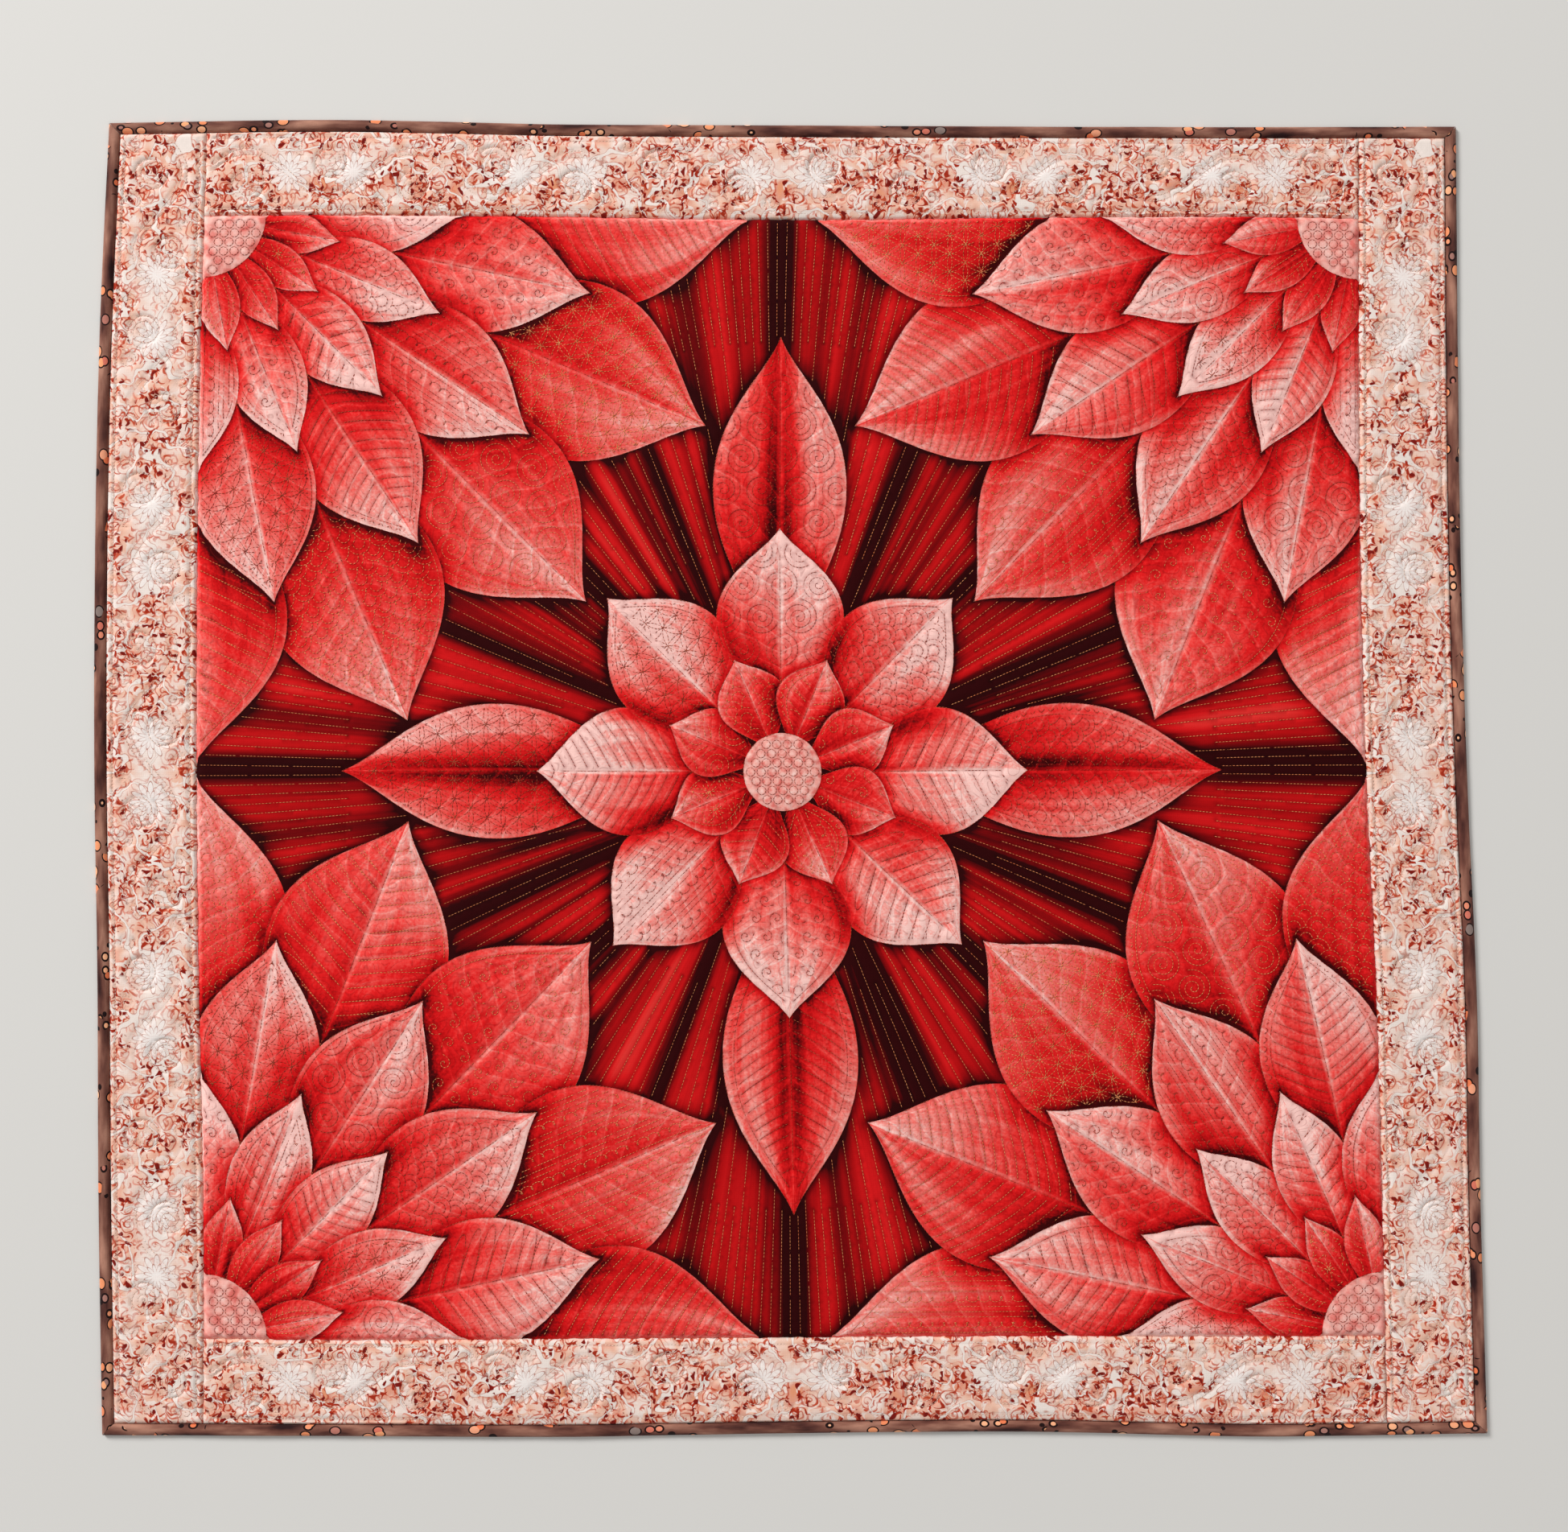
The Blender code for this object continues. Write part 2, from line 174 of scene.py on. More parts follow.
# Steps along lines, and between the points that fill the cloth.
FINE_STEP = 0.0010
MAIN_STEP = 0.0032
FILL_STEP = 0.0046
RIM_STEP = 0.0040
HEART_STEP = 0.0026
STRIP_STEP = 0.0030
ROUND_STEP = 0.0012
SPIRAL_STEP = 0.0014
LOOP_STEP = 0.0008
EDGE_STEP = 0.0060
BINDING_STEP = 0.0040
PANEL_STEP = 0.0042
BORDER_STEP = 0.0027

# How close a filling comes to the main lines, and any line to a seam. A point that fills the cloth keeps this
# share of a step away from the lines. Points that are closer are merged, and shorter runs aren't sewn.
FILL_CLEAR = 0.0032
CLEAR_OF_SEAM = 0.0020
CLEAR_OF_BORDER_SEAM = 1.5 * CLEAR_OF_SEAM
CLEAR_SHARE = 0.42
MERGE = 0.00015
SHORTEST_RUN = 0.006

# How far apart staggered rows are, as a share of the distance between neighbours in a row.
ROW_SHARE = math.sqrt(3) / 2

# A point of a leaf's outline counts as the leaf's own once it is moved this share of the way to its middle.
NUDGE = 1e-4

# Thread, drawn about twice as thick as real so that it shows in the render. The stitches' thin ends overlap.
STITCH_PITCH = 0.0031
STITCH_LENGTH = 0.0035
THREAD_WIDTH = 0.00080
THREAD_HEIGHT = 0.00055

# How far the middle of a stitch lies above its crease, as a share of the thread's height.
STITCH_LIFT = 0.15

# The edges of a mesh that are sharper than these angles stay sharp.
SHARP_IN_SHEETS = math.radians(62)
SHARP_IN_BINDINGS = math.radians(50)


def linear(hex_colour):
    """A colour that is given as sRGB hex, as linear red, green, blue and alpha."""
    channels = [int(hex_colour[k:k + 2], 16) / 255 for k in (1, 3, 5)]
    return [c / 12.92 if c <= 0.04045 else ((c + 0.055) / 1.055) ** 2.4 for c in channels] + [1.0]


# Where the uneven quilt lies


def smooth_through(shares, values, at):
    """A smooth curve through the table's values, by cubic pieces that share their slopes."""
    slopes = np.gradient(values, shares)
    at = np.clip(at, 0.0, 1.0)
    piece = np.clip(np.searchsorted(shares, at, side="right") - 1, 0, len(shares) - 2)
    span = shares[piece + 1] - shares[piece]
    t = (at - shares[piece]) / span
    before = (1 + 2 * t) * (1 - t) ** 2 * values[piece] + t * (1 - t) ** 2 * span * slopes[piece]
    after = t * t * (3 - 2 * t) * values[piece + 1] - t * t * (1 - t) * span * slopes[piece + 1]
    return before + after


def bowed(table, at, across, lines):
    """The shift of points across four bowed lines, from the shifts of the two lines that they lie between."""
    rows = np.array(table)
    outwards = (-1, -1, 1, 1)
    shifts = []
    for column, side in enumerate(outwards, start=1):
        shifts.append(side * smooth_through(rows[:, 0], rows[:, column] / 1000, at))
    total = shifts[0]
    for k in range(len(lines) - 1):
        share = np.clip((across - lines[k]) / (lines[k + 1] - lines[k]), 0, 1)
        total = total + share * (shifts[k + 1] - shifts[k])
    return total


def seam_ripple(along, beside):
    """How far the gathers at a seam draw the cloth aside, at a distance beside the seam."""
    gathers = sum(strength * np.sin(waves * along + start) for waves, strength, start in GATHERS)
    return RIPPLE * gathers * np.exp(-((beside / RIPPLE_REACH) ** 2))


def uncentred(flat):
    """Where points of the true rectangle come to lie, before the quilt is centred on the origin."""
    x, y = flat[:, 0], flat[:, 1]
    uprights = (-FULL_WIDTH / 2, -PANEL_WIDTH / 2, PANEL_WIDTH / 2, FULL_WIDTH / 2)
    levels = (-FULL_HEIGHT / 2, -PANEL_HEIGHT / 2, PANEL_HEIGHT / 2, FULL_HEIGHT / 2)
    aside = bowed(UPRIGHT_BOWS, 0.5 - y / FULL_HEIGHT, x, uprights)
    upwards = bowed(LEVEL_BOWS, 0.5 + x / FULL_WIDTH, y, levels)
    lean_x = -LEAN_SIDEWAYS * y / (FULL_HEIGHT / 2)
    lean_y = -LEAN_UPWARDS * x / (FULL_WIDTH / 2)
    aside = aside + seam_ripple(y, np.abs(x) - PANEL_WIDTH / 2)
    upwards = upwards + seam_ripple(x, np.abs(y) - PANEL_HEIGHT / 2)
    return np.column_stack((x + aside + lean_x, y + upwards + lean_y))


def lengths_along(line):
    """How far along the line each of its points is."""
    return np.concatenate(((0.0,), np.cumsum(np.linalg.norm(np.diff(line, axis=0), axis=1))))


def points_along(line, lengths, at):
    """The points at some distances along the line."""
    return np.column_stack([np.interp(at, lengths, axis) for axis in line.T])


def evenly_spaced(line, step):
    """The line's points, moved to even steps along it."""
    lengths = lengths_along(line)
    count = max(2, int(round(lengths[-1] / step)) + 1)
    return points_along(line, lengths, np.linspace(0, lengths[-1], count))


def rectangle_edge(left, right, bottom, top, step):
    """The points of a rectangle's edge at even steps, going round once, without the first again."""
    corners = ((left, bottom), (right, bottom), (right, top), (left, top), (left, bottom))
    sides = [evenly_spaced(np.array(ends, float), step)[:-1] for ends in zip(corners[:-1], corners[1:])]
    return np.vstack(sides)


def box_middle():
    """The middle of the uncentred quilt's box."""
    reach = max(out for out, _ in BINDING_SECTION) * BINDING_WIDTH
    half_width, half_height = BORDERED_WIDTH / 2 + reach, BORDERED_HEIGHT / 2 + reach
    rim = uncentred(rectangle_edge(-half_width, half_width, -half_height, half_height, FILL_STEP))
    return (rim.min(0) + rim.max(0)) / 2


MIDDLE = box_middle()


def laid_out(flat):
    """Where points of the true rectangle come to lie on the uneven quilt."""
    return uncentred(flat) - MIDDLE


def swell(flat):
    """The slight rise and fall of a quilt that doesn't lie quite level."""
    x, y = flat[:, 0], flat[:, 1]
    first, second, across, upwards = (np.sin(a * x + b * y + start) for a, b, start in SWELLS)
    return SWELL * (1 + (first + second + across * upwards) / 3)


# The leaves of the corner fans and of the star


def leaf_side():
    """One side of a leaf: its shares of the length, and its shares of the half width there."""
    points = []
    for knot, handle, handle_before, next_knot in LEAF_SIDE:
        curve = interpolate_bezier(
            Vector(knot), Vector(handle), Vector(handle_before), Vector(next_knot), SIDE_STEPS + 1
        )
        points += curve[1:] if points else curve
    side = np.array([(p.x, p.y) for p in points])
    return side[:, 0], side[:, 1]


class Leaf:
    """A leaf that points away from a centre, and the leaves that it is tucked under."""

    shares, widths = leaf_side()

    def __init__(self, centre, angle, base, tip, half_width, heart, redness):
        self.centre = np.array(centre)
        self.out = np.array((math.cos(angle), math.sin(angle)))
        self.side = np.array((-math.sin(angle), math.cos(angle)))
        self.base, self.tip, self.half_width = base, tip, half_width
        self.length = tip - base
        self.heart, self.redness = heart, redness
        self.under = []

    def half(self, share):
        """Half the leaf's width at a share of its length."""
        return self.half_width * np.interp(share, self.shares, self.widths)

    def reached(self, share):
        """The distance from the centre at a share of the length."""
        return self.base + share * self.length

    def place(self, points):
        """Each point's share of the way from base to tip, and its distance from the rib, signed."""
        away = points - self.centre
        return (away @ self.out - self.base) / self.length, away @ self.side

    def holds(self, points, margin=0.0):
        """Which of the points lie inside the leaf's outline, or inside it by a margin."""
        share, across = self.place(points)
        return (share > 0) & (share < 1) & (np.abs(across) < self.half(share) - margin)

    def shows(self, points):
        """Which of the points lie on the leaf where nothing covers it."""
        seen = self.holds(points) & (np.linalg.norm(points - self.centre, axis=1) > self.heart)
        rows = np.flatnonzero(seen)
        for upper in self.under:
            rows = rows[~upper.holds(points[rows])]
        shown = np.zeros(len(points), bool)
        shown[rows] = True
        return shown

    def gap_to(self, points):
        """About how far each point lies outside the leaf's outline."""
        share, across = self.place(points)
        beyond = np.maximum(share - 1, 0) * self.length
        beside = np.maximum(np.abs(across) - self.half(np.clip(share, 0, 1)), 0)
        return np.hypot(beyond, beside)

    def on_panel(self, along, across):
        """Points of the panel, from their distances along the leaf from its centre and across it."""
        return self.centre + np.outer(along, self.out) + np.outer(across, self.side)

    def sides(self):
        """The two sides from base to tip."""
        half = self.half_width * self.widths
        return [self.on_panel(self.reached(self.shares), way * half) for way in (-1, 1)]

    def rib(self):
        return self.on_panel((self.base, self.reached(RIB_SHARE)), (0, 0))


def rings_of_leaves(centre, first_angle, rings, leaves_a_ring, quarters, heart):
    """Rings of leaves over some quarter turns round a centre. Each leaf lies under the inner rings and one
    neighbour in its ring. In a single quarter, a ring that starts on one edge also ends on the other."""
    step = quarters * math.pi / 2 / leaves_a_ring
    inner = []
    for base, tip, fullness, turn, redness in rings:
        half_width = fullness * (base + WIDEST_SHARE * (tip - base)) * math.tan(step / 2)
        count = leaves_a_ring + (quarters == 1 and turn == 0)
        angles = [first_angle + (k + turn) * step for k in range(count)]
        ring = [Leaf(centre, angle, base, tip, half_width, heart, redness) for angle in angles]
        for k, leaf in enumerate(ring):
            leaf.under = inner + [ring[k - 1]]
        inner = inner + ring
    return inner


def panel_corners():
    """Each corner of the panel, with the direction along the panel's edge that starts its quarter turn."""
    corners = []
    for corner, (across, upwards) in enumerate(((1, 1), (-1, 1), (-1, -1), (1, -1))):
        centre = (across * PANEL_WIDTH / 2, upwards * PANEL_HEIGHT / 2)
        corners.append((centre, math.pi + corner * math.pi / 2))
    return corners


def all_leaves():
    """The leaves of the corner fans and of the star, and the four behind the star."""
    fans = []
    for centre, first_angle in panel_corners():
        fans += rings_of_leaves(centre, first_angle, FAN_RINGS, LEAVES_A_FAN, 1, FAN_HEART)
    star = rings_of_leaves((0, 0), 0, STAR_RINGS, LEAVES_A_STAR, 4, STAR_HEART)
    cross = rings_of_leaves((0, 0), 0, (CROSS_RING,), LEAVES_A_CROSS, 4, STAR_HEART)
    for leaf in cross:
        leaf.under = list(star)
    return fans + star + cross


LEAVES = all_leaves()
HEARTS = [(np.array(centre), FAN_HEART) for centre, _ in panel_corners()] + [(np.zeros(2), STAR_HEART)]


# Lines of quilting


def runs_of(line, shown):
    """The stretches of a finely stepped line where it shows, leaving out the shortest."""
    runs, start = [], None
    for k, visible in enumerate(list(shown) + [False]):
        if visible and start is None:
            start = k
        elif not visible and start is not None:
            if (k - start) * FINE_STEP > SHORTEST_RUN:
                runs.append(line[start:k])
            start = None
    return runs


def within_panel(points, margin):
    return (np.abs(points) < np.array((PANEL_WIDTH / 2, PANEL_HEIGHT / 2)) - margin).all(axis=1)


def turned_round(centre, radius, turn):
    """Points round a centre, at a radius or at one for each turn."""
    return np.column_stack((centre[0] + radius * np.cos(turn), centre[1] + radius * np.sin(turn)))


def main_lines():
    """The sides and ribs of all leaves, and the round hearts."""
    lines = []
    for leaf in LEAVES:
        for line in leaf.sides() + [leaf.rib()]:
            line = evenly_spaced(line, FINE_STEP)
            nudged = line + (leaf.on_panel((leaf.base + leaf.tip) / 2, 0) - line) * NUDGE
            lines += runs_of(line, leaf.shows(nudged) & within_panel(line, CLEAR_OF_SEAM))
    for centre, radius in HEARTS:
        ring = turned_round(centre, radius, np.arange(0, math.tau, FINE_STEP / radius))
        ring = np.vstack((ring, ring[:1]))
        lines += runs_of(ring, within_panel(ring, CLEAR_OF_SEAM))
    return lines


def tree_of(lines, step):
    """A search tree of points at even steps along the lines."""
    samples = np.vstack([evenly_spaced(line, step) for line in lines])
    tree = KDTree(len(samples))
    for k, (x, y) in enumerate(samples):
        tree.insert((x, y, 0), k)
    tree.balance()
    return tree


def distances(tree, points):
    return np.array([tree.find((x, y, 0))[2] for x, y in points])


def round_line(centre, radius, turns=1.0, start=0.0):
    """A circle or part of one, round a point."""
    full = turns * math.tau
    return turned_round(centre, radius, start + np.linspace(0, full, int(full * radius / ROUND_STEP)))


def spiral_line(centre, inner, outer, spacing, start=0.0):
    """A spiral that winds outwards by its spacing a turn."""
    full = (outer - inner) / spacing * math.tau
    turn = np.linspace(0, full, int(full * outer / SPIRAL_STEP))
    return turned_round(centre, inner + spacing * turn / math.tau, turn + start)


def on_both_sides(along, across):
    """A line and its mirror image across a leaf's rib."""
    return [np.column_stack((along, way * across)) for way in (-1, 1)]


def staggered(leaf, pitch):
    """Centres in staggered rows over a leaf, along and across it."""
    row_step = pitch * ROW_SHARE
    reach = int(leaf.half_width / pitch) + 1
    centres = []
    for row in range(int(leaf.length / row_step) + 2):
        for column in range(-reach, reach + 1):
            centres.append((leaf.base + row * row_step, (column + 0.5 * (row % 2)) * pitch))
    return centres


def fill_veins(leaf, spacing=0.0105, slant=0.42, bend=4.0, points=24):
    """Side veins that leave the rib and bend towards the tip."""
    across = np.linspace(0, leaf.half_width, points)
    lines = []
    for start in np.arange(leaf.base, leaf.tip, spacing):
        lines += on_both_sides(start + slant * across + bend * across**2, across)
    return lines


PEBBLE_SIZES = (0.0135, 0.0100, 0.0072, 0.0052)
PEBBLE_TRIES = 170
PEBBLE_GAP = 0.0010


def fill_pebbles(leaf, striped_from=0.009, stripe=0.0045, last_stripe=0.0030, inset=0.0020):
    """Pebbles of mixed sizes that all but touch. Some of the larger ones are striped."""
    random = np.random.default_rng(int(leaf.tip * 1000))
    placed = []
    for radius in PEBBLE_SIZES:
        for share, side in random.random((PEBBLE_TRIES, 2)):
            along = leaf.reached(share)
            across = (2 * side - 1) * leaf.half(share)
            if all(math.hypot(along - x, across - y) > radius + r + PEBBLE_GAP for x, y, r in placed):
                placed.append((along, across, radius))
    lines = []
    for k, (x, y, radius) in enumerate(placed):
        lines.append(round_line((x, y), radius))
        if radius > striped_from and k % 2 == 0:
            for offset in np.arange(-radius + stripe, radius - last_stripe, stripe):
                reach = math.sqrt(radius**2 - offset**2) - inset
                lines.append(np.array(((x - reach, y + offset), (x + reach, y + offset))))
    return lines


def fill_spirals(leaf, inner=0.0015, outer=0.0170, spacing=0.0052, pitch=0.0350):
    """Large round spirals in staggered rows."""
    return [spiral_line(centre, inner, outer, spacing) for centre in staggered(leaf, pitch)]


def fill_shells(leaf, radius=0.0105, sizes=(1.0, 0.55), reach=8):
    """Clamshells in staggered rows, each with a smaller one inside."""
    lines = []
    for row in range(int(leaf.length / radius) + 1):
        for column in range(-reach, reach + 1):
            centre = (leaf.base + row * radius, (2 * column + row % 2) * radius)
            lines += [round_line(centre, size * radius, 0.5, -math.pi / 2) for size in sizes]
    return lines


def fill_lattice(leaf, slant=0.62, reach=0.14, spacing=0.0155):
    """Two sets of slanting lines that cross."""
    along = np.array((0.0, leaf.length))
    lines = []
    for way in (-slant, slant):
        for start in np.arange(-reach, reach, spacing):
            lines.append(np.column_stack((leaf.base + along, start + way * (along - leaf.length / 2))))
    return lines


def fill_ripples(leaf, spacing=0.0088, height=0.0012, repeat=0.024, shares=(0.02, 0.98), points=160):
    """Lines that follow the leaf's sides, gently rippled."""
    share = np.linspace(*shares, points)
    along = leaf.reached(share)
    count = max(2, int(leaf.half_width / spacing))
    lines = []
    for k in range(1, count):
        ripple = height * np.sin(along * math.tau / repeat + k)
        lines += on_both_sides(along, leaf.half(share) * k / count + ripple)
    return lines


def fill_plumes(
    leaf, spacing=0.0135, fullness=0.86, power=0.8, slant=0.50, lobe=0.0068, ahead=0.05, last=0.97, points=30
):
    """A feather: rounded lobes along both sides of the rib, leaning to the tip."""
    turn = np.linspace(0, math.pi, points)
    lines = []
    for start in np.arange(leaf.base, leaf.tip, spacing):
        reach = fullness * leaf.half(min((start - leaf.base) / leaf.length + ahead, last))
        across = reach * np.sin(turn) ** power
        lines += on_both_sides(start + slant * across + lobe * (1 - np.cos(turn)), across)
    return lines


def fill_flowers(leaf, radius=0.0170):
    """Circles that pass through each other's centres, which draw rows of small six-part flowers."""
    return [round_line(centre, radius) for centre in staggered(leaf, radius)]


def fill_stripes(leaf, pitch=0.0230, gap=0.0046, reach=3, loop=0.0105, overlap=0.0034, height=0.0030):
    """Straight lines along the leaf, in bands of three, with a row of small loops between the bands."""
    turn = np.linspace(0, math.tau * leaf.length / loop, int(leaf.length / LOOP_STEP))
    along = leaf.base + loop * turn / math.tau - overlap * np.sin(turn)
    lines = []
    for band in range(-reach, reach + 1):
        middle = band * pitch
        for offset in (-gap, 0.0, gap):
            lines.append(np.array(((leaf.base, middle + offset), (leaf.tip, middle + offset))))
        lines.append(np.column_stack((along, middle + pitch / 2 - height * np.cos(turn))))
    return lines


def fill_arches(leaf, spacing=0.0160, gap=0.0055, slope=0.45, roundness=1.15, beyond=0.03, points=60):
    """Arches across the leaf, in pairs, crowned towards the tip."""
    across = np.linspace(-leaf.half_width, leaf.half_width, points)
    lines = []
    for start in np.arange(leaf.base, leaf.tip + beyond, spacing):
        for shift in (0.0, gap):
            lines.append(np.column_stack((start + shift - slope * np.abs(across) ** roundness, across)))
    return lines


def fill_zigzags(leaf, width=0.0070, spacing=0.0100, depth=0.0055):
    """Zigzags across the leaf."""
    corners = np.arange(-leaf.half_width, leaf.half_width, width)
    zigzag = depth * (np.arange(len(corners)) % 2)
    return [np.column_stack((start + zigzag, corners)) for start in np.arange(leaf.base, leaf.tip, spacing)]


def fill_curls(leaf, pitch=0.0190, inner=0.0008, outer=0.0062, spacing=0.0042, turn=1.9, tail=0.0045):
    """Small curls, each with a tail that meets the next."""
    lines = []
    for k, centre in enumerate(staggered(leaf, pitch)):
        curl = spiral_line(centre, inner, outer, spacing, start=k * turn)
        heading = curl[-1] - curl[-2]
        heading = heading / np.linalg.norm(heading)
        lines.append(np.vstack((curl, curl[-1] + heading * tail)))
    return lines


def beside_edge(leaf, inset, narrowest=0.004, shares=(0.02, 0.985), points=240):
    """A line inside each side of the leaf at an even distance from it, where the leaf is wide enough."""
    share = np.linspace(*shares, points)
    half = leaf.half(share) - inset
    wide = half > narrowest
    return on_both_sides(leaf.reached(share)[wide], half[wide]) if wide.sum() > 1 else []


def rim_plain(leaf, inset=0.0042):
    """A second outline, close beside the first."""
    return beside_edge(leaf, inset)


RIM_WIDTH = 0.0100
RIM_CLEAR = 0.0020


def rim_rungs(leaf, spacing=0.0058, slant=0.0025):
    """Short rungs between the leaf's edge and a line inside it."""
    lines = beside_edge(leaf, RIM_WIDTH)
    for start in np.arange(leaf.base, leaf.tip, spacing):
        half = leaf.half((start - leaf.base) / leaf.length)
        if half > RIM_WIDTH:
            lines += on_both_sides((start, start + slant), np.array((half - RIM_WIDTH, half)))
    return lines


def rim_waves(leaf, height=0.0026, repeat=0.0085):
    """A small wave between the leaf's edge and a line inside it."""
    lines = beside_edge(leaf, RIM_WIDTH)
    for line in beside_edge(leaf, RIM_WIDTH / 2):
        line = evenly_spaced(line, FINE_STEP)
        wave = height * np.sin(np.arange(len(line)) * FINE_STEP * math.tau / repeat)
        lines.append(line + np.column_stack((np.zeros(len(line)), np.sign(line[0, 1]) * wave)))
    return lines


RIMS = (
    # rim, how far the filling stays inside the leaf's edge
    (None, 0.0),
    (rim_rungs, RIM_WIDTH + RIM_CLEAR),
    (rim_plain, 0.0065),
    (rim_waves, RIM_WIDTH + RIM_CLEAR),
    (None, 0.0),
)

# The fillings in the order in which the leaves take them, with the step that each needs to stay smooth.
FILLINGS = (
    # filling, step
    (fill_veins, 0.0050),
    (fill_spirals, 0.0030),
    (fill_lattice, 0.0060),
    (fill_plumes, 0.0030),
    (fill_pebbles, 0.0027),
    (fill_stripes, 0.0042),
    (fill_flowers, 0.0034),
    (fill_ripples, 0.0045),
    (fill_shells, 0.0028),
    (fill_arches, 0.0045),
    (fill_curls, 0.0027),
    (fill_zigzags, 0.0035),
)

# Which filling comes next, and after how many leaves the order shifts by one.
NEXT_FILLING = 5
LEAVES_A_SHIFT = 7

# Leaves with more redness than this are sewn with the light thread.
DEEP_RED = 0.7


def clear_runs(line, shown, main_tree):
    """The stretches of a finely stepped line where it shows, clear of the seams and of the main lines."""
    shown = shown & within_panel(line, FILL_CLEAR)
    rows = np.flatnonzero(shown)
    shown[rows] = distances(main_tree, line[rows]) > FILL_CLEAR
    return runs_of(line, shown)


def leaf_fillings(main_tree):
    """All lines that fill the leaves: the fine forms on pale and on deep red leaves, and the coarse forms."""
    pale, deep, coarse = [], [], []
    for number, leaf in enumerate(LEAVES):
        filling, step = FILLINGS[(number * NEXT_FILLING + number // LEAVES_A_SHIFT) % len(FILLINGS)]
        rim, inset = RIMS[number % len(RIMS)]
        sewn = deep if leaf.redness > DEEP_RED else pale
        for lines, margin, line_step in (
            (filling(leaf), inset, step),
            (rim(leaf) if rim else (), 0.0, RIM_STEP),
        ):
            for line in lines:
                line = evenly_spaced(leaf.on_panel(line[:, 0], line[:, 1]), FINE_STEP)
                runs = clear_runs(line, leaf.shows(line) & leaf.holds(line, margin), main_tree)
                sewn += runs
                coarse += [evenly_spaced(run, line_step) for run in runs]
    return pale, deep, coarse


RAYS = 348
RAY_LEVELS = (
    # every how many rays, from this radius
    (4, 0.045),
    (2, 0.210),
    (1, 0.400),
)
RAY_END = 0.78


def on_ground(points):
    """Which points of the panel lie on no leaf and no heart."""
    bare = np.ones(len(points), bool)
    for leaf in LEAVES:
        bare &= ~leaf.holds(points)
    for centre, radius in HEARTS:
        bare &= np.linalg.norm(points - centre, axis=1) > radius
    return bare


def ground_rays(main_tree):
    """Straight lines that leave the panel's middle, more of them further out, in fine and coarse form."""
    fine = []
    for k in range(RAYS):
        start = next(radius for every, radius in RAY_LEVELS if k % every == 0)
        angle = (k + 0.5) * math.tau / RAYS
        ray = np.outer((start, RAY_END), (math.cos(angle), math.sin(angle)))
        line = evenly_spaced(ray, FINE_STEP)
        fine += clear_runs(line, on_ground(line), main_tree)
    return fine, [evenly_spaced(run, FILL_STEP) for run in fine]


def heart_pebbles(pitch=0.0098, radius=0.0042):
    """Small pebbles in the hearts, in fine and coarse form."""
    rings = []
    for centre, heart in HEARTS:
        reach = int(heart / pitch) + 1
        for row in range(-reach, reach + 1):
            for column in range(-reach, reach + 1):
                at = np.array(((column + 0.5 * (row % 2)) * pitch, row * pitch * ROW_SHARE))
                ring = round_line(centre + at, radius)
                inside = np.linalg.norm(at) <= heart - radius - PEBBLE_GAP
                if inside and within_panel(ring, FILL_CLEAR).all():
                    rings.append(ring)
    return rings, [evenly_spaced(ring, HEART_STEP) for ring in rings]


# Padded cloth


def arc(distance, reach):
    """How full the padding is at a distance from the stitching, from 0 to 1, in a round arc."""
    short = 1 - np.minimum(distance, reach) / reach
    return np.sqrt(1 - short**2)


def inwards(flat, box):
    """Each point's distance in from the edge of a rectangle."""
    left, right, bottom, top = box
    x, y = flat[:, 0], flat[:, 1]
    return np.maximum(np.minimum(np.minimum(x - left, right - x), np.minimum(y - bottom, top - y)), 0)


def fill_points(box, step, tree, clear):
    """Staggered rows of points that keep clear of the stitched lines and of the edge."""
    left, right, bottom, top = box
    row_count = int((top - bottom) / (step * ROW_SHARE))
    column_count = int((right - left) / step)
    rows = []
    for row in range(1, row_count):
        x = left + (np.arange(1, column_count) + 0.5 * (row % 2)) * (right - left) / column_count
        rows.append(np.column_stack((x, np.full(len(x), bottom + row * (top - bottom) / row_count))))
    points = np.vstack(rows)
    points = points[inwards(points, box) > step / 3]
    return points[distances(tree, points) > clear]


def cloth_heights(flat, box, all_tree, main_tree, loft):
    """The height of the cloth's top over each point of a rectangle, sinking into the seams at its edge."""
    height = STITCH_HEIGHT + loft * arc(distances(all_tree, flat), SMALL_REACH)
    if main_tree:
        height += LARGE_LOFT * arc(distances(main_tree, flat), LARGE_REACH)
    sunk = 1 - arc(inwards(flat, box), SEAM_REACH)
    return height + swell(flat) - sunk * (height - SEAM_HEIGHT)


def mesh_of(bm, name):
    mesh = bpy.data.meshes.new(name)
    bm.to_mesh(mesh)
    bm.free()
    return mesh


def new_object(name, data, *materials):
    """A new object of the scene, with its materials."""
    for material in materials:
        data.materials.append(material)
    obj = bpy.data.objects.new(name, data)
    bpy.context.scene.collection.objects.link(obj)
    return obj


# What delaunay_2d_cdt calls the triangles inside an outline, and the backing's slot in a sheet's materials.
INSIDE_OUTLINE = 1
BACKING_SLOT = 1


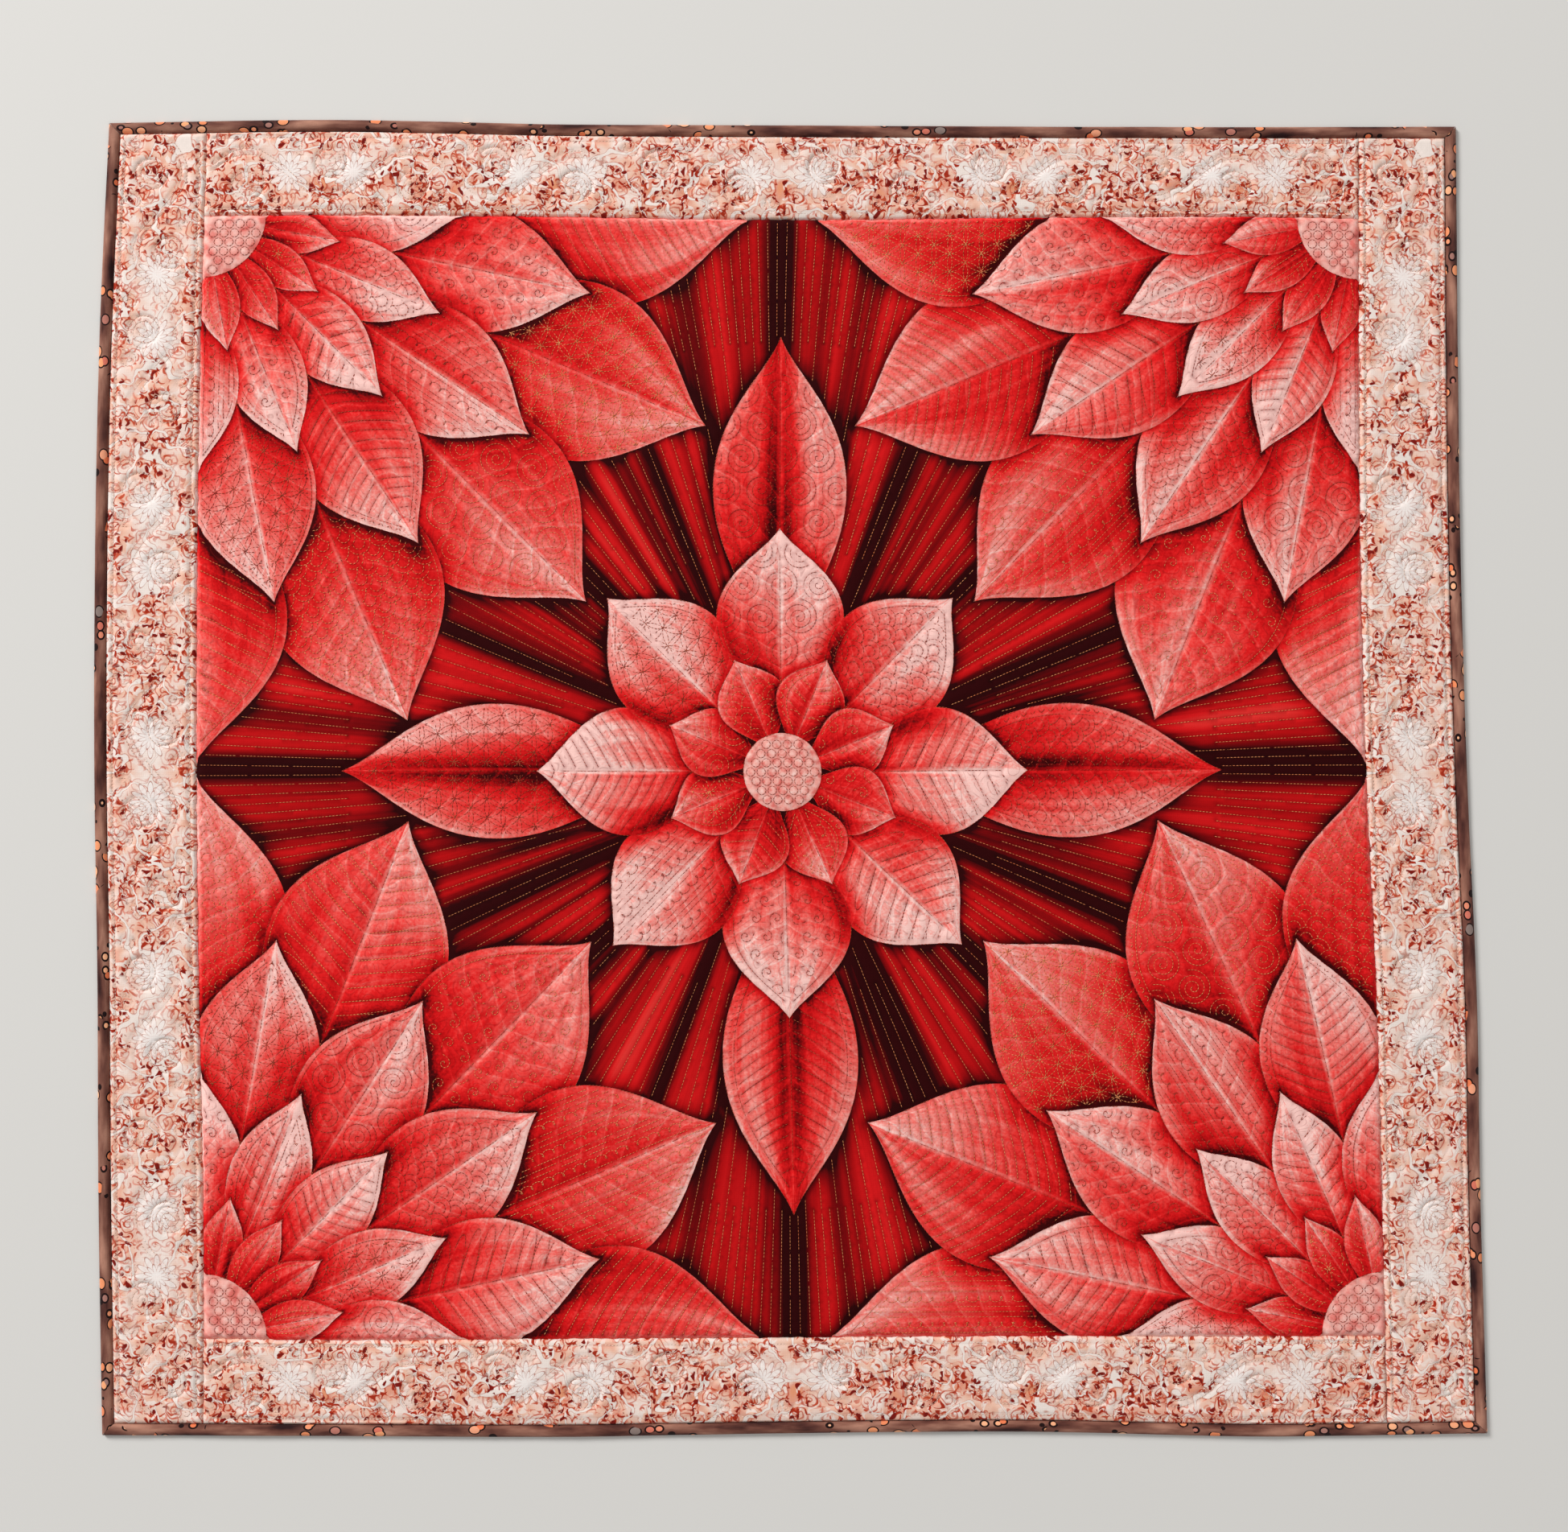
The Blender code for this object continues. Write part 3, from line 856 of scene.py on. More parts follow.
def padded_sheet(name, box, lines, tree, height_at, step, *materials):
    """A closed sheet over a rectangle with creases along its lines. Also its points on the true rectangle."""
    edge = rectangle_edge(*box, EDGE_STEP)
    points = [Vector(p) for p in edge]
    links = [(k, (k + 1) % len(edge)) for k in range(len(edge))]
    for line in lines:
        first = len(points)
        points += [Vector(p) for p in line]
        links += [(first + k, first + k + 1) for k in range(len(line) - 1)]
    points += [Vector(p) for p in fill_points(box, step, tree, CLEAR_SHARE * step)]
    corners, _, faces, _, _, _ = delaunay_2d_cdt(points, links, [], INSIDE_OUTLINE, MERGE)
    flat = np.array([(p.x, p.y) for p in corners])
    bm = bmesh.new()
    verts = [bm.verts.new((x, y, z)) for (x, y), z in zip(laid_out(flat), height_at(flat))]
    for face in faces:
        bm.faces.new([verts[k] for k in face])
    rim = [link for link in bm.edges if link.is_boundary]
    bm.verts.index_update()
    rim_rows = {tuple(vert.co): vert.index for link in rim for vert in link.verts}
    dropped = bmesh.ops.extrude_edge_only(bm, edges=rim)["geom"]
    below = [part for part in dropped if isinstance(part, bmesh.types.BMVert)]
    flat = np.vstack((flat, [flat[rim_rows[tuple(vert.co)]] for vert in below]))
    for vert in below:
        vert.co.z = 0.0
    under = [part for part in dropped if isinstance(part, bmesh.types.BMEdge)]
    underside = bmesh.ops.edgeloop_fill(bm, edges=under)["faces"]
    bmesh.ops.recalc_face_normals(bm, faces=bm.faces)
    for face in underside:
        face.material_index = BACKING_SLOT
    mesh = mesh_of(bm, name)
    mesh.shade_smooth()
    mesh.set_sharp_from_angle(angle=SHARP_IN_SHEETS)
    mark_creases(mesh, 1 - np.minimum(distances(tree, flat) / CREASE_REACH, 1))
    return new_object(name, mesh, *materials), flat


def numbers_of(parts, name, of_each=1):
    """Whole numbers that a mesh's parts hold, such as the points at their ends."""
    numbers = np.empty(of_each * len(parts), np.int64)
    parts.foreach_get(name, numbers)
    return numbers


def mark_creases(mesh, closeness, softened=0.8):
    """Stores how deep in a crease each point lies: less where its neighbours are as close to stitches."""
    ends = numbers_of(mesh.edges, "vertices", 2).reshape(-1, 2)
    around = np.zeros(len(closeness))
    for one, other in (ends.T, ends.T[::-1]):
        around += np.bincount(one, weights=closeness[other], minlength=len(closeness))
    around /= np.maximum(np.bincount(ends.ravel(), minlength=len(closeness)), 1)
    # The cloth materials darken their colour by this depth as painted shade in the creases.
    crease = mesh.attributes.new("crease", "FLOAT", "POINT")
    crease.data.foreach_set("value", (closeness * (1 - softened * around)).astype(np.float32))


def corner_table(mesh, flat):
    """For each face corner of a mesh, its point on the true rectangle and the centre of its face there."""
    points = flat[numbers_of(mesh.loops, "vertex_index")]
    totals = numbers_of(mesh.polygons, "loop_total")
    centres = np.add.reduceat(points, numbers_of(mesh.polygons, "loop_start")) / totals[:, None]
    return points, np.repeat(centres, totals, axis=0)


def set_uv(mesh, name, uv):
    layer = mesh.uv_layers.new(name=name)
    layer.data.foreach_set("uv", uv.astype(np.float32).ravel())


# How far the shadow of a leaf reaches.
SHADOW_REACH = 0.011

# The kinds of print, and the limits between them.
LEAF_KIND = 0.0
FROM_GROUND = 0.25
GROUND_KIND = 0.5
FROM_HEART = 0.75
HEART_KIND = 1.0

# Each leaf's own number, which sets its streaks, is this far from the last one's, and stays below 1.
NUMBER_STEP = 0.618


def shadow_of(uppers, points):
    """How dark the print is beside the leaves that lie over it, from 0 to 1."""
    nearest = np.full(len(points), 1.0)
    for upper in uppers:
        nearest = np.minimum(nearest, upper.gap_to(points))
    return np.exp(-nearest / SHADOW_REACH)


def print_on_leaves(mesh, flat, last_share=0.97, least_half=1e-4, furthest=1.2):
    """Gives each face corner its place on the leaf that shows there, and the facts that the print needs: the
    leaf's redness, its shadow, the kind of print and the leaf's number."""
    points, centres = corner_table(mesh, flat)
    place = points.copy()
    facts = np.tile((0.0, 0.0, GROUND_KIND, 1.0), (len(points), 1))
    ground = np.ones(len(points), bool)
    for number, leaf in enumerate(LEAVES):
        rows = np.flatnonzero(leaf.shows(centres))
        share, across = leaf.place(points[rows])
        half = np.maximum(leaf.half(np.clip(share, 0.0, last_share)), least_half)
        place[rows] = np.column_stack((share, np.clip(across / half, -furthest, furthest)))
        facts[rows] = (leaf.redness, 0.0, LEAF_KIND, (number * NUMBER_STEP) % 1)
        facts[rows, 1] = shadow_of(leaf.under, points[rows])
        ground[rows] = False
    for centre, radius in HEARTS:
        rows = np.flatnonzero(np.linalg.norm(centres - centre, axis=1) < radius)
        place[rows] = (points[rows] - centre) / radius
        facts[rows] = (0.0, 0.0, HEART_KIND, 1.0)
        ground[rows] = False
    rows = np.flatnonzero(ground)
    facts[rows, 1] = shadow_of(LEAVES, points[rows])
    set_uv(mesh, "leaf", place)
    layer = mesh.color_attributes.new("print", "FLOAT_COLOR", "CORNER")
    layer.data.foreach_set("color", facts.astype(np.float32).ravel())


# Border strips and binding


# The winding stem of a border: its wave, its swing, half the gap between its two lines, and how far the lines
# keep from the ends and the sides.
STEM_WAVE = 0.154
STEM_SWING = 0.021
STEM_GAP = 0.0028
CLEAR_OF_END = 0.008
CLEAR_OF_SIDE = 0.0055
CURLS = (
    # beside the bend, across the strip, inner and outer radius, spacing, turn from bend to bend, first turn
    (0.0, 0.0105, 0.0012, 0.0165, 0.0050, 0.7, 0),
    (-0.0270, 0.0245, 0.0010, 0.0078, 0.0038, 1.1, -1),
    (0.0270, 0.0245, 0.0010, 0.0078, 0.0038, 1.1, 1),
)


def strip_lines(length, width):
    """A border strip's quilting, along X: a winding stem with curls in its bends, between two edge lines."""
    count = max(1, round(length / STEM_WAVE))
    wave = length / count
    ends = np.array((-length / 2 + CLEAR_OF_END, length / 2 - CLEAR_OF_END))
    along = np.linspace(*ends, int(length / STRIP_STEP))
    stem = STEM_SWING * np.sin(math.tau * (along + length / 2) / wave)
    lines = [np.column_stack((along, shift + stem)) for shift in (-STEM_GAP, STEM_GAP)]
    for k in range(2 * count):
        bend = -length / 2 + (k + 0.5) * wave / 2
        way = -1 if k % 2 == 0 else 1
        for beside, across, inner, outer, spacing, turn, first in CURLS:
            centre = (bend + beside, way * across)
            lines.append(spiral_line(centre, inner, outer, spacing, start=turn * k + first))
    rim = width / 2 - CLEAR_OF_SIDE
    return lines + on_both_sides(ends, np.array((rim, rim)))


def border_strip(name, box, upright, cotton, backing, thread):
    """One border strip, quilted, with a cloth pattern that runs along it."""
    left, right, bottom, top = box
    middle = np.array(((left + right) / 2, (bottom + top) / 2))
    length, width = (top - bottom, right - left) if upright else (right - left, top - bottom)
    fine = []
    for line in strip_lines(length, width):
        if upright:
            line = np.column_stack((-line[:, 1], line[:, 0]))
        line = evenly_spaced(line + middle, FINE_STEP)
        fine += runs_of(line, inwards(line, box) > CLEAR_OF_BORDER_SEAM)
    coarse = [evenly_spaced(run, STRIP_STEP) for run in fine]
    tree = tree_of(coarse, FINE_STEP)
    loft = SMALL_LOFT + BORDER_LOFT
    height_at = partial(cloth_heights, box=box, all_tree=tree, main_tree=None, loft=loft)
    strip, flat = padded_sheet(name, box, coarse, tree, height_at, BORDER_STEP, cotton, backing)
    points, _ = corner_table(strip.data, flat)
    along, across = (points - middle).T
    if upright:
        along, across = across, -along
    set_uv(strip.data, "strip", np.column_stack((along, across)))
    return strip, stitch_mesh(name + "_stitches", fine, height_at, thread), (length, width)


# The binding's small puckers. Two of the waves are multiplied and the third is added in part. They fade out
# towards the foot of the section.
BINDING_PUCKER = 0.00022
BINDING_PUCKERS = (
    # radians a metre, start, how much later the next side starts
    (410, 0.0, 1.7),
    (173, 0.6, 0.0),
    (97, 0.0, 0.0),
)
LONG_PUCKER_SHARE = 0.6
PUCKERS_FROM = 0.35


def binding_strip(name, quarter_turns, batik):
    """One side of the folded binding, slightly puckered, mitred at both ends."""
    upright = quarter_turns % 2 == 1
    half_length = (BORDERED_HEIGHT if upright else BORDERED_WIDTH) / 2
    seam_place = (BORDERED_WIDTH if upright else BORDERED_HEIGHT) / 2
    mitre_gap = SEAM_GAP / math.sqrt(2)
    stations = int(2 * half_length / BINDING_STEP)
    rows = [(SEAM_GAP / 2, 0.0)] + [(out * BINDING_WIDTH, up * BINDING_HEIGHT) for out, up in BINDING_SECTION]
    bm = bmesh.new()
    around = bm.verts.layers.float.new("around")
    section = [bm.verts.new((-(half_length + out - mitre_gap), out, up)) for out, up in rows]
    travelled = 0.0
    for k, vert in enumerate(section):
        travelled += (vert.co - section[k - 1].co).length if k else 0.0
        vert[around] = travelled
    start = end = bm.faces.new(section)
    for station in range(1, stations + 1):
        made = bmesh.ops.extrude_face_region(bm, geom=[end])["geom"]
        if end is not start:
            bm.faces.remove(end)
        end = next(part for part in made if isinstance(part, bmesh.types.BMFace))
        share = 2 * station / stations - 1
        for vert in end.verts:
            vert.co.x = share * (half_length + vert.co.y - mitre_gap)
    bmesh.ops.recalc_face_normals(bm, faces=bm.faces)
    along, out, height, reach = np.array([(*vert.co, vert[around]) for vert in bm.verts]).T
    fine, slow, long = (np.sin(along * a + b + later * quarter_turns) for a, b, later in BINDING_PUCKERS)
    crown = np.clip(height / BINDING_HEIGHT - PUCKERS_FROM, 0, 1)
    height = height + BINDING_PUCKER * (fine * slow + LONG_PUCKER_SHARE * long) * crown
    turn = quarter_turns * math.pi / 2
    place = seam_place + out
    cosine, sine = math.cos(turn), math.sin(turn)
    flat = np.column_stack((along * cosine - place * sine, along * sine + place * cosine))
    height = np.where(height > 0, height + swell(flat), 0.0)
    for vert, (x, y), z in zip(bm.verts, laid_out(flat), height):
        vert.co = (x, y, z)
    mesh = mesh_of(bm, name)
    mesh.shade_smooth()
    mesh.set_sharp_from_angle(angle=SHARP_IN_BINDINGS)
    set_uv(mesh, "strip", np.column_stack((along, reach))[numbers_of(mesh.loops, "vertex_index")])
    return new_object(name, mesh, batik)


# Stitches


def stitch_form():
    """The corners and faces of one stitch along X: a bit of thread, thickest in the middle, ridged on top."""
    bm = bmesh.new()
    bmesh.ops.create_uvsphere(bm, u_segments=3, v_segments=2, radius=0.5)
    bmesh.ops.rotate(bm, verts=bm.verts, cent=(0, 0, 0), matrix=Matrix.Rotation(-math.pi / 2, 3, "Y"))
    bmesh.ops.scale(bm, verts=bm.verts, vec=(STITCH_LENGTH, THREAD_WIDTH, THREAD_HEIGHT))
    corners = np.array([vert.co for vert in bm.verts])
    faces = np.array([[vert.index for vert in face.verts] for face in bm.faces])
    bm.free()
    return corners, faces


STITCH_CORNERS, STITCH_FACES = stitch_form()


def stitch_places(lines):
    """The middle and the heading of every stitch along the lines."""
    middles, headings = [], []
    for line in lines:
        lengths = lengths_along(line)
        count = int(lengths[-1] / STITCH_PITCH)
        at = (np.arange(count) + 0.5) * lengths[-1] / count
        start, end = (
            points_along(line, lengths, np.clip(at + shift, 0, lengths[-1]))
            for shift in (-STITCH_LENGTH / 2, STITCH_LENGTH / 2)
        )
        middles.append((start + end) / 2)
        headings.append(end - start)
    headings = np.vstack(headings)
    return np.vstack(middles), headings / np.linalg.norm(headings, axis=1)[:, None]


def stitch_mesh(name, lines, height_at, thread):
    """All stitches along the lines as one joined mesh, lying in the cloth's creases."""
    middles, headings = stitch_places(lines)
    places = laid_out(middles)
    ahead = laid_out(middles + headings * FINE_STEP) - places
    ahead /= np.linalg.norm(ahead, axis=1)[:, None]
    x, y, z = STITCH_CORNERS.T
    corners = np.empty((len(middles), len(STITCH_CORNERS), 3))
    corners[:, :, 0] = places[:, :1] + np.outer(ahead[:, 0], x) - np.outer(ahead[:, 1], y)
    corners[:, :, 1] = places[:, 1:] + np.outer(ahead[:, 1], x) + np.outer(ahead[:, 0], y)
    corners[:, :, 2] = (height_at(middles) + THREAD_HEIGHT * STITCH_LIFT)[:, None] + z
    faces = STITCH_FACES[None] + np.arange(len(middles))[:, None, None] * len(STITCH_CORNERS)
    mesh = bpy.data.meshes.new(name)
    mesh.from_pydata(corners.reshape(-1, 3), [], faces.reshape(-1, 3).tolist())
    mesh.shade_smooth()
    return new_object(name, mesh, thread)


# Materials

# How wide the features of the cloths are. The weave is drawn at 1.2 mm for a pair of threads, because the
# real 0.25 mm is too fine to show.
THREAD_PAIR = 0.0012
SLUB = 0.00154
PUCKER = 0.00526
INK_GRAIN = 0.00238
DYE_DRIFT = 0.125
THREAD_DRIFT = 0.0167

# A wave texture of scale 1 repeats after this length.
WAVE_REPEAT = 0.1 * math.pi

# How high slubs, puckers and grooves are, against one thread of the weave.
SLUB_SHARE = 3.0
PUCKER_SHARE = 9.0
GROOVE_SHARE = 4.0

# Inks and dyes, each from the lowest value to the highest.
LEAF_INKS = (
    (0.00, "#3c0103"),
    (0.12, "#8a0307"),
    (0.26, "#c40c10"),
    (0.42, "#df1d1e"),
    (0.58, "#eb443f"),
    (0.74, "#f1766d"),
    (0.88, "#f4a096"),
    (1.00, "#f8c8bf"),
)
GROUND_INKS = ((0.25, "#2c0103"), (0.37, "#7a0206"), (0.47, "#b0090d"), (0.58, "#d01518"), (0.75, "#e23a34"))
HEART_INKS = ((0.35, "#e0736a"), (0.50, "#f0a79b"), (0.72, "#f8cfc4"))
BORDER_INKS = ((0.36, "#eddcd2"), (0.46, "#e9cbbd"), (0.53, "#e8b9a2"), (0.59, "#dc9a85"), (0.66, "#e19570"))
BATIK_DYES = ((0.34, "#2a1415"), (0.42, "#553029"), (0.50, "#74483c"), (0.58, "#916353"), (0.68, "#b2806c"))
PEBBLE_DYES = ((0.00, "#f0a878"), (0.35, "#e2764c"), (0.60, "#f2b68c"), (0.80, "#d9705a"), (1.00, "#5f7370"))
BACKING_DYES = ((0.30, "#d9a79c"), (0.70, "#e3b8ad"))


def add_node(tree, kind, inputs, stops=(), **settings):
    """Adds a node with its settings and gives its outputs. The inputs come in order or by socket, and each is
    another node's output, a hex colour or a value."""
    node = tree.nodes.new("ShaderNode" + kind)
    for name, value in settings.items():
        setattr(node, name, value)
    given = inputs.items() if isinstance(inputs, dict) else enumerate(inputs)
    for socket, value in given:
        if isinstance(value, bpy.types.NodeSocket):
            tree.links.new(value, node.inputs[socket])
        else:
            node.inputs[socket].default_value = linear(value) if isinstance(value, str) else value
    for k, (position, colour) in enumerate(stops):
        stop = node.color_ramp.elements[k] if k < 2 else node.color_ramp.elements.new(position)
        stop.position = position
        stop.color = linear(colour)
    return node.outputs


def new_material(name, roughness, sheen):
    """An empty cloth material, and what adds nodes to it."""
    material = bpy.data.materials.new(name)
    material.use_nodes = True
    shader = material.node_tree.nodes["Principled BSDF"]
    shader.inputs["Roughness"].default_value = roughness
    shader.inputs["Specular IOR Level"].default_value = 0.08
    shader.inputs["Sheen Weight"].default_value = sheen
    shader.inputs["Sheen Roughness"].default_value = 0.5
    return material, partial(add_node, material.node_tree)


def finished(material, colour, bumps=None):
    """The material, with its colour and its bumps led to its shader."""
    shader = material.node_tree.nodes["Principled BSDF"]
    material.node_tree.links.new(colour, shader.inputs["Base Color"])
    if bumps:
        material.node_tree.links.new(bumps, shader.inputs["Normal"])
    return material


def summed(add, start, *parts):
    """The start and each part times its weight, added up."""
    total = start
    for part, weight in parts:
        total = add("Math", (part, weight, total), operation="MULTIPLY_ADD")[0]
    return total


def product(add, first, *others):
    for other in others:
        first = add("Math", (first, other), operation="MULTIPLY")[0]
    return first


def painted(add, colour, tint, *shares):
    """The colour with a tint laid over it, by the product of some shares."""
    return add("Mix", {0: product(add, *shares), 6: colour, 7: tint}, data_type="RGBA")[2]


def woven(add, grooves=0.0):
    """The bumps of a plain weave, with soft slubs, the puckers that quilting draws into it, and grooves."""
    place = add("TexCoord", ())["Object"]
    puckers = add("TexNoise", {"Vector": place, "Scale": 1 / PUCKER, "Detail": 2.0})[0]
    slubs = add("TexNoise", {"Vector": place, "Scale": 1 / SLUB, "Detail": 3.0})[0]
    height = summed(add, 0.0, (puckers, PUCKER_SHARE), (slubs, SLUB_SHARE), (grooves, -GROOVE_SHARE))
    for direction in ("X", "Y"):
        threads = {"Vector": place, "Scale": WAVE_REPEAT / THREAD_PAIR, "Distortion": 0.8, "Detail": 1.0}
        height = summed(add, height, (add("TexWave", threads, bands_direction=direction)["Fac"], 1.0))
    return add("Bump", {"Height": height, "Strength": 0.12, "Distance": 0.0003})[0]


def painted_crease_shade(add, colour, depth, steepness=1.5):
    """The colour, darker in the creases of the quilting: painted shade, a multiply towards dark red."""
    crease = add("Attribute", (), attribute_name="crease")["Fac"]
    share = add("Math", (crease, steepness), operation="POWER")[0]
    darker = add("Mix", {0: 1.0, 6: colour, 7: "#8a2a2c"}, data_type="RGBA", blend_type="MULTIPLY")[2]
    return painted(add, colour, darker, share, depth)


# The tone of a leaf before its streaks, veins and shadow are added.
MIDDLE_TONE = 0.43


def leaf_tone(add, along, across, redness, shadow, number):
    """How pale the print is on a leaf, from 0 to 1, with two halves, veins, soft streaks and pale rims."""

    def streaks(across_scale, along_scale, detail):
        x = summed(add, 0.0, (number, 91.0), (across, across_scale))
        y = summed(add, 0.0, (number, 53.0), (along, along_scale))
        noise = add("TexNoise", {"Vector": add("CombineXYZ", (x, y))[0], "Scale": 1.0, "Detail": detail})[0]
        return add("Math", (noise, 0.5), operation="SUBTRACT")[0]

    surface = add("TexCoord", ())["Object"]
    grain = add("TexNoise", {"Vector": surface, "Scale": 1 / INK_GRAIN, "Detail": 3.0})[0]
    from_rib = add("Math", (across,), operation="ABSOLUTE")[0]
    bent = summed(add, 0.0, (along, 12.0), (from_rib, -2.0), (streaks(1.5, 3.0, 1.0), 1.2))
    from_vein = add("Math", (bent, 0.5), operation="PINGPONG")[0]
    near_tip = add("MapRange", (along, 0.05, 0.95))[0]
    broad_streaks = streaks(2.2, 1.1, 3.0)
    fine_streaks = streaks(15.0, 2.4, 4.0)
    darker_half = add("MapRange", (across, -0.02, 0.02))[0]
    between_veins = add("Math", (bent,), operation="FRACT")[0]
    on_vein = add("MapRange", (from_vein, 0.09, 0.03))[0]
    on_rib = add("MapRange", (from_rib, 0.065, 0.03))[0]
    on_rim = add("MapRange", (from_rib, 0.88, 0.99))[0]
    return summed(
        add,
        MIDDLE_TONE,
        # part, weight
        (near_tip, 0.50),
        (redness, -0.34),
        (shadow, -0.50),
        (broad_streaks, 0.80),
        (fine_streaks, 0.30),
        (darker_half, -0.16),
        (between_veins, 0.09),
        (on_vein, 0.06),
        (on_rib, 0.13),
        (on_rim, 0.12),
        (grain, 0.34),
    )


# The finest quilting: how wide its bends are, how many of its lines cross one of them, where its groove
# begins and is deepest, in shares of a line's spacing, and between which depths of a crease it fades out.
STIPPLE_BEND = 0.020
STIPPLE_LINES = 7.0
STIPPLE_GROOVE = (0.13, 0.03)
STIPPLE_FADE = (0.22, 0.06)


def stippling(add, kind):
    """The finest quilting: a line that meanders about 4 mm from itself, between the larger lines on the
    leaves. It is too fine to be raised in the cloth, so it is a groove in the finish."""
    place = add("TexCoord", ())["Object"]
    noise = add("TexNoise", {"Vector": place, "Scale": 1 / STIPPLE_BEND, "Detail": 0.0})[0]
    off_line = add("Math", (product(add, noise, STIPPLE_LINES), 0.5), operation="PINGPONG")[0]
    crease = add("Attribute", (), attribute_name="crease")["Fac"]
    on_leaf = add("Math", (kind, FROM_GROUND), operation="LESS_THAN")[0]
    away_from_creases = add("MapRange", (crease, *STIPPLE_FADE))[0]
    return product(add, add("MapRange", (off_line, *STIPPLE_GROOVE))[0], away_from_creases, on_leaf)


def panel_cotton():
    """Digitally printed quilting cotton, matt, in saturated reds, with leaves over a dark streaked ground."""
    material, add = new_material("digitally_printed_cotton", 0.90, 0.0)
    place = add("UVMap", (), uv_map="leaf")[0]
    facts = add("Attribute", (), attribute_name="print")
    redness, shadow, kind = add("SeparateColor", (facts["Color"],))
    along, across, _ = add("SeparateXYZ", (place,))
    tone = leaf_tone(add, along, across, redness, shadow, facts["Alpha"])
    direction = add("VectorMath", (place,), operation="NORMALIZE")[0]
    streak = add("TexNoise", {"Vector": direction, "Scale": 13.0, "Detail": 5.0})[0]
    blotch = add("TexNoise", {"Vector": place, "Scale": 5.0, "Detail": 3.0})[0]
    colour = add("ValToRGB", (tone,), LEAF_INKS)[0]
    for least_kind, value, inks in (
        (FROM_GROUND, summed(add, streak, (shadow, -0.30)), GROUND_INKS),
        (FROM_HEART, blotch, HEART_INKS),
    ):
        chosen = add("Math", (kind, least_kind), operation="GREATER_THAN")[0]
        colour = painted(add, colour, add("ValToRGB", (value,), inks)[0], chosen)
    stipple = stippling(add, kind)
    # Painted shade in the creases, then the stipple line: its dark red stands for the thread and for painted
    # shade in its groove.
    colour = painted(add, painted_crease_shade(add, colour, 0.80), "#7c1210", stipple, 0.32)
    return finished(material, colour, woven(add, stipple))


# The border's print: half its repeat, where a daisy and a cluster of drops come in it, and a stroke's edge.
BORDER_REPEAT = 0.1075
DAISY_PLACE = 0.030
DAISY_PETALS = 12
CLUSTER_PLACE = 0.082
STROKE_EDGE = 0.00022

# How far the print strays from its true place, how many ribbons cross one of its bends, and how far the
# crowding round a cluster and the calm round a daisy reach. Then the crowding over which the strokes get
# stronger, with their least and full strength, and that over which the drops come in.
PRINT_DRIFT = 0.008
RIBBON_BANDS = 4.0
NEAR_CLUSTER = (0.022, 0.002)
NEAR_DAISY = (0.034, 0.012)
BUSY = (0.34, 0.49, 0.35, 1.0)
DENSE = (0.495, 0.522)

DROPS = (
    # cell, radius, half width, sweep, share, tint
    (0.0080, 0.0031, 0.0013, 1.4, 0.90, "#a32c16"),
    (0.0094, 0.0032, 0.0017, 1.0, 0.80, "#7c160e"),
)
RIBBONS = (
    # outer and inner edge of a band, strength, tint
    (0.082, 0.066, 0.7, "#b0563c"),
    (0.066, 0.050, 1.0, "#e9dbd2"),
)
WHORLS = (
    # radius, turn
    (0.0195, 0.0),
    (0.0112, math.pi / 2),
)

# Where a petal's outline runs and how far it waves, as shares of the radius, and where the paint begins and
# is full, from that outline.
PETAL_MIDDLE = 0.40
PETAL_WAVE = 0.60
PETAL_PAINT = (0.0008, -0.0012)
PETAL_EDGE = (0.0009, 0.0003)


def from_point(add, along, across, place):
    """The distance from a point on the strip's middle line, and the direction round it."""
    aside = add("Math", (along, place), operation="SUBTRACT")[0]
    offset = add("CombineXYZ", (aside, across))[0]
    away = add("VectorMath", (offset,), operation="LENGTH")["Value"]
    return away, add("Math", (across, aside), operation="ARCTAN2")[0]


def within_cells(add, where, cell):
    """Cells strewn over a print, each turned its own way: the distance and direction from a cell's point, and
    two chances that differ from cell to cell."""
    spread = {"Vector": where, "Scale": 1 / cell, "Randomness": 0.9}
    cells = add("TexVoronoi", spread, voronoi_dimensions="2D")
    offset = add("VectorMath", (where, cells["Position"]), operation="SUBTRACT")[0]
    x, y, _ = add("SeparateXYZ", (offset,))
    away = add("Math", (summed(add, 0.0, (x, x), (y, y)),), operation="SQRT")[0]
    turn, chance, tone = add("SeparateColor", (cells["Color"],))
    heading = summed(add, add("Math", (y, x), operation="ARCTAN2")[0], (turn, math.tau))
    return away, add("Math", (heading, math.pi, -math.pi), operation="WRAP")[0], chance, tone


def commas(add, where, cell, radius, half_width, sweep, share):
    """Short curved strokes that thin out at both ends, in a share of the cells."""
    away, heading, chance, tone = within_cells(add, where, cell)
    bend = summed(add, 0.7 * radius, (tone, 0.6 * radius))
    off_line = add("Math", (away, bend), operation="SUBTRACT")[0]
    off_line = add("Math", (off_line,), operation="ABSOLUTE")[0]
    swept = add("Math", (heading, sweep), operation="DIVIDE")[0]
    outside = summed(add, -half_width, (off_line, 1.0), (product(add, swept, swept), half_width))
    stroke = add("MapRange", (outside, STROKE_EDGE, -STROKE_EDGE))[0]
    return product(add, stroke, add("Math", (chance, share), operation="LESS_THAN")[0])


def scrolls(add, where, cell, radius, spacing, half_width, share):
    """Small spirals in a share of the cells."""
    away, heading, chance, _ = within_cells(add, where, cell)
    turns = summed(add, 0.0, (away, 1 / spacing), (heading, 0.5 / math.pi))
    off_line = product(add, add("Math", (turns, 0.5), operation="PINGPONG")[0], spacing)
    line = add("MapRange", (off_line, half_width + STROKE_EDGE, half_width - STROKE_EDGE))[0]
    chosen = add("Math", (chance, share), operation="LESS_THAN")[0]
    return product(add, line, chosen, add("MapRange", (away, radius, 0.85 * radius))[0])


